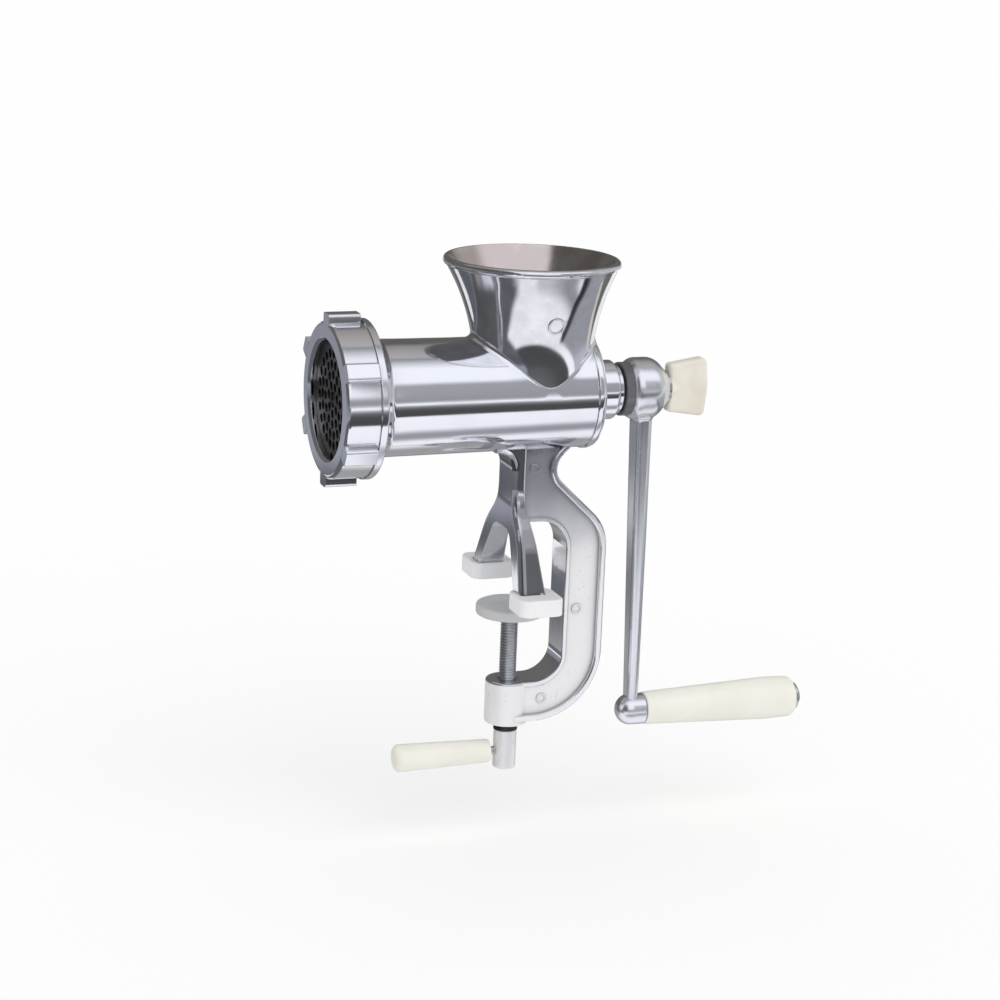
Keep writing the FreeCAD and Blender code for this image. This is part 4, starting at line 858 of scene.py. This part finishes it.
@dataclass
class TableClamp(SubAssembly):
    """Clamp screw with its pad and lever, and the pads on the legs.

    Attributes:
        thread_depth: From the thread's crest to its root.
        crest: Width of the crest, as a share of the pitch.
        root: Width of the ridge at its root, as a share of the pitch.
        sunk: How deep the ridge sits in the core, as a share of the thread's depth.
        plain_turns: Turns of the thread that the two ends of the screw go without.
        sides: Steps round the screw.
        tip_length: Length of the plain tip.
        tip_radius: Radius of the plain tip.
        tip_inset: Width of the ring on the tip's end.
        smooth_angle: Degrees between two faces, up to which they shade as one.
        weld: Distance under which points of the ridge are one.
    """

    thread_depth: float = 0.00055
    crest: float = 0.25
    root: float = 0.9
    sunk: float = 0.3
    plain_turns: float = 3.0
    sides: int = 40
    tip_length: float = 0.0025
    tip_radius: float = 0.0032
    tip_inset: float = 0.0004
    smooth_angle: float = 35.0
    weld: float = 1e-6

    FINISHES = {
        Surface.WHITE: ("foot_pad_near", "foot_pad_far"),
        Surface.GREY: ("pressure_pad",),
        Surface.STEEL: ("pressure_plate", "lever_core"),
        Surface.BLACK: ("lever_washer",),
        Surface.TUMBLED: ("lever_head",),
        Surface.CREAM: ("clamp_lever",),
    }
    LOOKS_UP: ClassVar[float] = 0.9

    @property
    def pitch(self) -> float:
        """Rise of the thread in one turn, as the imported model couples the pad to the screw."""
        couplings = frame["record"]["behaviour"]["couplings"]
        return 2.0 * math.pi * next(row["ratio"] for row in couplings if row["follows"] == "clamp_turn")

    def build(self) -> None:
        """Model the screw with its real thread in place of the plain rod."""
        low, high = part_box("clamp_screw")
        core = self.screw_core(low, high)
        ridge = self.thread_ridge(low, high)
        deselect_all()
        ridge.select_set(True)
        core.select_set(True)
        bpy.context.view_layer.objects.active = core
        bpy.ops.object.join()
        bpy.ops.object.shade_smooth_by_angle(angle=math.radians(self.smooth_angle))
        core.data.materials.clear()
        core.data.materials.append(Surface.SCREW.material())
        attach(core, "clamp_screw")
        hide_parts("clamp_screw")
        LOG.info("%s: thread of %.1f mm pitch", core.name, self.pitch * 1000.0)

    def screw_core(self, low: Vector, high: Vector) -> bpy.types.Object:
        """Solid core at the thread's root, with its plain tip.

        Args:
            low: Lowest corner of the plain screw.
            high: Highest corner of the plain screw.

        Returns:
            The new object.
        """
        root_radius = (high.x - low.x) / 2.0 - self.thread_depth
        shoulder = high.z - self.tip_length
        deselect_all()
        bpy.ops.mesh.primitive_cylinder_add(vertices=self.sides, radius=root_radius, depth=shoulder - low.z,
                                            location=(0.0, 0.0, (shoulder + low.z) / 2.0))
        core = bpy.context.object
        core.name = "clamp_screw_threaded"
        apply_place(core)
        select_faces(core.data, lambda face: face.normal.z > self.LOOKS_UP)
        bpy.ops.object.mode_set(mode="EDIT")
        bpy.ops.mesh.inset(thickness=root_radius - self.tip_radius)
        bpy.ops.mesh.extrude_region_move(TRANSFORM_OT_translate={"value": (0.0, 0.0, self.tip_length)})
        bpy.ops.mesh.inset(thickness=self.tip_inset)
        bpy.ops.object.mode_set(mode="OBJECT")
        return core

    def thread_ridge(self, low: Vector, high: Vector) -> bpy.types.Object:
        """Helical ridge from the foot of the screw to its shoulder.

        Args:
            low: Lowest corner of the plain screw.
            high: Highest corner of the plain screw.

        Returns:
            The new object, closed at both ends.
        """
        crest_radius = (high.x - low.x) / 2.0
        depth = self.thread_depth * (1.0 + self.sunk)
        start = low.z + self.pitch
        deselect_all()
        bpy.ops.mesh.primitive_plane_add(size=1.0, rotation=(math.pi / 2.0, 0.0, 0.0))
        ridge = bpy.context.object
        ridge.scale = (depth, self.pitch * self.root, 1.0)
        ridge.location = (crest_radius - depth / 2.0, 0.0, start)
        apply_place(ridge)
        bpy.ops.object.mode_set(mode="EDIT")
        bpy.ops.mesh.select_all(action="DESELECT")
        bpy.ops.object.mode_set(mode="OBJECT")
        for vertex in ridge.data.vertices:
            vertex.select = vertex.co.x > crest_radius - self.thread_depth / 2.0
        bpy.ops.object.mode_set(mode="EDIT")
        bpy.ops.transform.resize(value=(1.0, 1.0, self.crest / self.root),
                                 center_override=(crest_radius, 0.0, start))
        bpy.ops.object.mode_set(mode="OBJECT")
        turn = ridge.modifiers.new("thread", "SCREW")
        turn.axis = "Z"
        turn.screw_offset = self.pitch
        turn.iterations = int((high.z - low.z - self.plain_turns * self.pitch) / self.pitch)
        turn.steps = self.sides
        turn.render_steps = self.sides
        bpy.ops.object.modifier_apply(modifier=turn.name)
        bpy.ops.object.mode_set(mode="EDIT")
        bpy.ops.mesh.select_all(action="SELECT")
        bpy.ops.mesh.remove_doubles(threshold=self.weld)
        bpy.ops.mesh.fill_holes(sides=4)
        bpy.ops.mesh.normals_make_consistent(inside=False)
        bpy.ops.object.mode_set(mode="OBJECT")
        return ridge


@dataclass(frozen=True)
class Sheet:
    """A sheet or screen that the metal mirrors, brighter and darker from place to place.

    Attributes:
        levels: Pairs of place and brightness, in rising order of place.
        tint: Colour of full brightness.
    """

    levels: tuple[Level, ...]
    tint: Colour = (1.0, 1.0, 1.0)

    def colour(self, graph: ShaderGraph, share: Value, end: float) -> Value:
        """Colour of the sheet by place.

        Args:
            graph: Tree to build in.
            share: Place along the sheet, as a share of its end.
            end: Place where the sheet ends.

        Returns:
            The colour.
        """
        red, green, blue = self.tint
        return graph.ramp(share, [(place / end, (level * red, level * green, level * blue))
                                  for place, level in self.levels])


@dataclass(frozen=True)
class Card:
    """A round white card on the floor.

    Attributes:
        across: Place of its middle along X.
        along: Place of its middle along Y.
        radius: Its radius.
    """

    across: float
    along: float
    radius: float

    TINT: ClassVar[Colour] = (0.95, 0.95, 0.95)
    EDGE: ClassVar[Limits] = (0.9, 1.1)

    def mask(self, graph: ShaderGraph, across: Value, along: Value) -> Value:
        """Where the card lies: 1 on it, 0 elsewhere.

        Args:
            graph: Tree to build in.
            across: Place along X.
            along: Place along Y.

        Returns:
            The mask.
        """
        off_x, off_y = across - self.across, along - self.along
        inner, outer = self.EDGE
        return graph.fall((off_x * off_x + off_y * off_y) ** 0.5, (self.radius * inner, self.radius * outer))


@dataclass
class Studio:
    """White floor, soft light, and the sheets and screens that the polished metal mirrors.

    The sheets lie on the floor and are seen only by mirrored rays, as the screens in the world are.

    Attributes:
        floor_size: Side of the floor.
        floor_gap: Room between the clamp lever at its lowest and the floor.
        paper: Colour of the floor.
        paper_lift: Brightness that the camera alone sees added to the floor.
        fill: Strength of the even light from all round.
        key: Strength of the soft lamp.
        key_spread: Degrees that the soft lamp covers.
        key_towards: Direction of the soft lamp from the object.
        sheet_scale: Stretch of the sheets' layout, less than 1 to lay them wider.
        sheet_reach: How far the sheets on the floor are laid out.
        left_level: Brightness of the screen on the left.
        right_level: Brightness of the screen on the right.
        box_low: Roll at which the lit screen starts on the left and on the right, in half turns.
    """

    floor_size: float = 30.0
    floor_gap: float = 0.002
    paper: Colour = (0.95, 0.95, 0.95)
    paper_lift: float = 0.09
    fill: float = 0.85
    key: float = 0.5
    key_spread: float = 60.0
    key_towards: Triple = (0.26, -0.72, 0.64)
    sheet_scale: float = 0.84
    sheet_reach: float = 3.2
    left_level: float = 0.12
    right_level: float = 0.55
    box_low: Limits = (0.07, 0.205)

    WHITE: ClassVar[Colour] = (1.0, 1.0, 1.0)
    NONE: ClassVar[Colour] = (0.0, 0.0, 0.0)

    # The sheets on the floor: how far in front (FRONT), from the middle (BACK, LEFT) or to the right.
    FRONT: ClassVar[Sheet] = Sheet(((0.0, 0.95), (0.37, 1.0), (0.40, 0.07), (0.70, 0.08), (1.1, 0.16),
                                    (1.7, 0.42), (2.8, 1.0)), (0.98, 0.985, 1.03))
    BACK: ClassVar[Sheet] = Sheet(((0.0, 0.95), (0.06, 0.36), (0.25, 0.36), (0.32, 0.20), (0.60, 0.14),
                                   (0.80, 0.26), (2.8, 0.80)))
    LEFT: ClassVar[Sheet] = Sheet(((0.0, 0.13), (0.50, 0.13), (0.56, 0.11), (0.68, 0.11), (0.75, 0.34),
                                   (1.1, 0.28), (2.8, 0.20)), (0.95, 0.99, 1.12))
    RIGHT: ClassVar[Sheet] = Sheet(((0.265, 0.04), (0.29, 0.38), (0.60, 0.38), (0.75, 0.50), (2.8, 0.90)),
                                   (0.94, 0.97, 1.06))
    CARDS: ClassVar[tuple[Card, ...]] = (Card(0.62, 0.60, 0.27), Card(-0.195, 0.455, 0.075))

    # Where one sheet ends and the next starts, and how far its edge turns off the X axis.
    FRONT_SKEW: ClassVar[float] = 0.2
    BACK_EDGE: ClassVar[Limits] = (0.0, 0.03)
    STRIP_NEAR: ClassVar[Limits] = (0.02, 0.07)
    STRIP_FAR: ClassVar[Limits] = (0.09, 0.16)
    STRIP_SIDE: ClassVar[Limits] = (-0.03, 0.0)
    STRIP_TINT: ClassVar[Colour] = (0.34, 0.34, 0.37)
    RIGHT_SIDE: ClassVar[Limits] = (0.222, 0.236)
    RIGHT_FRONT: ClassVar[Limits] = (-0.36, -0.30)
    RIGHT_BACK: ClassVar[Limits] = (-0.03, 0.03)
    RIGHT_SKEW: ClassVar[float] = 0.36
    LEFT_SIDE: ClassVar[Limits] = (-0.12, -0.07)
    LEFT_FRONT: ClassVar[Limits] = (-0.088, -0.048)
    LEFT_SKEW: ClassVar[float] = 0.316
    FAR_LEFT: ClassVar[Limits] = (-0.34, -0.28)

    # The screens in the world, by roll about X in degrees from the front, over the top, to the back.
    HALF_TURN: ClassVar[float] = 180.0
    WALL: ClassVar[Sheet] = Sheet(((0, 0.62), (3, 0.34), (30, 0.38)), (0.97, 0.985, 1.04))
    LIT: ClassVar[Sheet] = Sheet(((0, 1.0), (68, 1.0), (78, 0.70), (90, 0.30), (95, 0.44), (129, 0.30),
                                  (140, 0.14), (180, 0.12)), (0.97, 0.985, 1.04))

    # Where the lit screen's foot steps up, how soft it is, and where the warm and side screens start.
    BOX_SKEW: ClassVar[float] = 0.36
    BOX_STEP: ClassVar[Limits] = (-0.035, -0.005)
    BOX_EDGE: ClassVar[Limits] = (-0.03, 0.03)
    WARM_ROLL: ClassVar[Limits] = (0.53, 0.56)
    WARM_TINT: ClassVar[Colour] = (1.06, 1.0, 0.92)
    LEFT_SCREEN: ClassVar[Limits] = (-0.60, -0.50)
    RIGHT_SCREEN: ClassVar[Limits] = (0.70, 0.92)

    def build(self) -> None:
        """Set up the floor, the lamp, the world and the view."""
        self.build_floor()
        self.build_lamp()
        self.build_world()
        bpy.context.scene.view_settings.view_transform = "Standard"

    @property
    def clamp_travel(self) -> float:
        """How far the clamp's lever sinks below its place at rest."""
        joints = frame["record"]["behaviour"]["joints"]
        return -next(row["range_m"][0] for row in joints if row["name"] == "pad_slide")

    def build_floor(self) -> None:
        """Lay the white floor under the lowest place of the clamp lever; it keeps the object's shadow."""
        height = CAD_BOX[0].z - self.clamp_travel - self.floor_gap
        deselect_all()
        bpy.ops.mesh.primitive_plane_add(size=self.floor_size, location=(0.0, 0.0, height))
        floor = bpy.context.object
        floor.name = "floor"
        made = bpy.data.materials.new("white_floor")
        made.use_nodes = True
        graph = ShaderGraph(made.node_tree)
        seen, mirrored = graph.rays()
        paper = graph.node("ShaderNodeBsdfDiffuse", None, {"Color": self.paper})
        lifted = graph.blend(seen, self.NONE, (self.paper_lift,) * 3)
        lift = graph.node("ShaderNodeEmission", None, {"Color": lifted, "Strength": 1.0})
        lit = graph.node("ShaderNodeAddShader", None, {"Shader": paper, "Shader_001": lift})
        sheets = graph.node("ShaderNodeEmission", None, {"Color": self.sheets(graph), "Strength": 1.0})
        both = graph.node("ShaderNodeMixShader", None, {"Fac": mirrored, "Shader": lit, "Shader_001": sheets})
        graph.node("ShaderNodeOutputMaterial", None, {"Surface": both})
        floor.data.materials.append(made)

    def sheets(self, graph: ShaderGraph) -> Value:
        """Bright and dark sheets on the floor, as the metal mirrors them.

        Args:
            graph: Tree of the floor's material.

        Returns:
            Their colour at each point of the floor.
        """
        end = self.sheet_reach
        across, along, _ = graph.split(graph.place((self.sheet_scale, self.sheet_scale, 1.0)))
        reach = (across * across + along * along) ** 0.5
        ahead = along * -1.0 - across * self.FRONT_SKEW
        front = self.FRONT.colour(graph, ahead / end, end)
        back = self.BACK.colour(graph, reach / end, end)
        left = self.LEFT.colour(graph, reach / end, end)
        right = self.RIGHT.colour(graph, across / end, end)
        colour = graph.blend(graph.rise(along, self.BACK_EDGE), front, back)
        strip = graph.rise(ahead, self.STRIP_NEAR) * graph.fall(ahead, self.STRIP_FAR)
        colour = graph.blend(strip * graph.rise(across, self.STRIP_SIDE), colour, self.STRIP_TINT)
        beside = graph.rise(across, self.RIGHT_SIDE) * graph.rise(along, self.RIGHT_FRONT)
        beside = beside * graph.fall(along - across * self.RIGHT_SKEW, self.RIGHT_BACK)
        colour = graph.blend(beside, colour, right)
        behind = graph.rise(along - across * self.LEFT_SKEW, self.LEFT_FRONT)
        colour = graph.blend(graph.fall(across, self.LEFT_SIDE) * behind, colour, left)
        colour = graph.blend(graph.fall(across, self.FAR_LEFT), colour, left)
        for card in self.CARDS:
            colour = graph.blend(card.mask(graph, across, along), colour, card.TINT)
        return colour

    def build_lamp(self) -> None:
        """Hang the soft lamp in front, to the right and above."""
        light = bpy.data.lights.new("soft_lamp", "SUN")
        light.energy = self.key
        light.angle = math.radians(self.key_spread)
        lamp = bpy.data.objects.new("soft_lamp", light)
        lamp.rotation_euler = Vector(self.key_towards).to_track_quat("Z", "Y").to_euler()
        lamp.visible_glossy = False
        bpy.context.collection.objects.link(lamp)

    def build_world(self) -> None:
        """White for the camera, even light for matt surfaces, and screens for the metal to mirror."""
        world = bpy.data.worlds.new("studio")
        world.use_nodes = True
        bpy.context.scene.world = world
        graph = ShaderGraph(world.node_tree)
        seen, mirrored = graph.rays()
        even = graph.blend(seen, (self.fill,) * 3, self.WHITE)
        colour = graph.blend(mirrored, even, self.screens(graph))
        light = graph.node("ShaderNodeBackground", None, {"Color": colour, "Strength": 1.0})
        graph.node("ShaderNodeOutputWorld", None, {"Surface": light})

    def screens(self, graph: ShaderGraph) -> Value:
        """Bright and dark screens round the object, in bands that run along X.

        Args:
            graph: Tree of the world.

        Returns:
            Their colour in each direction.
        """
        across, along, up = graph.split(graph.node("ShaderNodeTexCoord", output="Generated"))
        roll = graph.math("ARCTAN2", up, along * -1.0) / math.pi
        wall = self.WALL.colour(graph, roll, self.HALF_TURN)
        lit = self.LIT.colour(graph, roll, self.HALF_TURN)
        foot = graph.ease(across + along * self.BOX_SKEW, self.BOX_STEP, *self.box_low)
        colour = graph.blend(graph.rise(roll - foot, self.BOX_EDGE), wall, lit)
        warmed = graph.blend(1.0, colour, self.WARM_TINT, "MULTIPLY")
        colour = graph.blend(graph.rise(roll, self.WARM_ROLL), colour, warmed)
        colour = graph.blend(graph.fall(across, self.LEFT_SCREEN), colour, (self.left_level,) * 3)
        return graph.blend(graph.rise(across, self.RIGHT_SCREEN), colour, (self.right_level,) * 3)


@dataclass
class PhotoCamera:
    """Camera at the viewing angle of the photograph.

    Attributes:
        aim: Point that the camera looks at.
        distance: From the aim to the camera.
        azimuth: Degrees to the left of the line along +Y.
        elevation: Degrees above the level.
        roll: Degrees that the camera is tilted about its own line of sight.
        focal: Focal length in pixels of the picture.
        picture: Width of the picture in pixels.
    """

    aim: Triple = (-0.00769, 0.0, 0.04824)
    distance: float = 1.30009
    azimuth: float = 20.58
    elevation: float = 14.27
    roll: float = 2.24
    focal: float = 2591.43
    picture: float = 1000.0

    def build(self) -> None:
        """Make the camera and use it."""
        turn = math.radians(self.azimuth)
        lift = math.radians(self.elevation)
        tilt = math.radians(self.roll)
        back = Vector((-math.sin(turn) * math.cos(lift), -math.cos(turn) * math.cos(lift), math.sin(lift)))
        level = Vector((math.cos(turn), -math.sin(turn), 0.0))
        upright = back.cross(level)
        right = level * math.cos(tilt) + upright * math.sin(tilt)
        above = upright * math.cos(tilt) - level * math.sin(tilt)
        camera = bpy.data.cameras.new("photo_camera")
        camera.sensor_fit = "HORIZONTAL"
        camera.lens = self.focal * camera.sensor_width / self.picture
        holder = bpy.data.objects.new("photo_camera", camera)
        rotation = Matrix((right, above, back)).transposed()
        holder.matrix_world = Matrix.LocRotScale(Vector(self.aim) + back * self.distance, rotation, None)
        bpy.context.collection.objects.link(holder)
        bpy.context.scene.camera = holder


def main() -> None:
    """Build and dress every sub-assembly, then the studio and the camera."""
    logging.basicConfig(level=logging.INFO, format="%(name)s: %(message)s")
    for group in (GrindingHead(), Crank(), TableClamp()):
        group.build()
        group.dress()
    Studio().build()
    PhotoCamera().build()


if __name__ == "__main__":
    main()
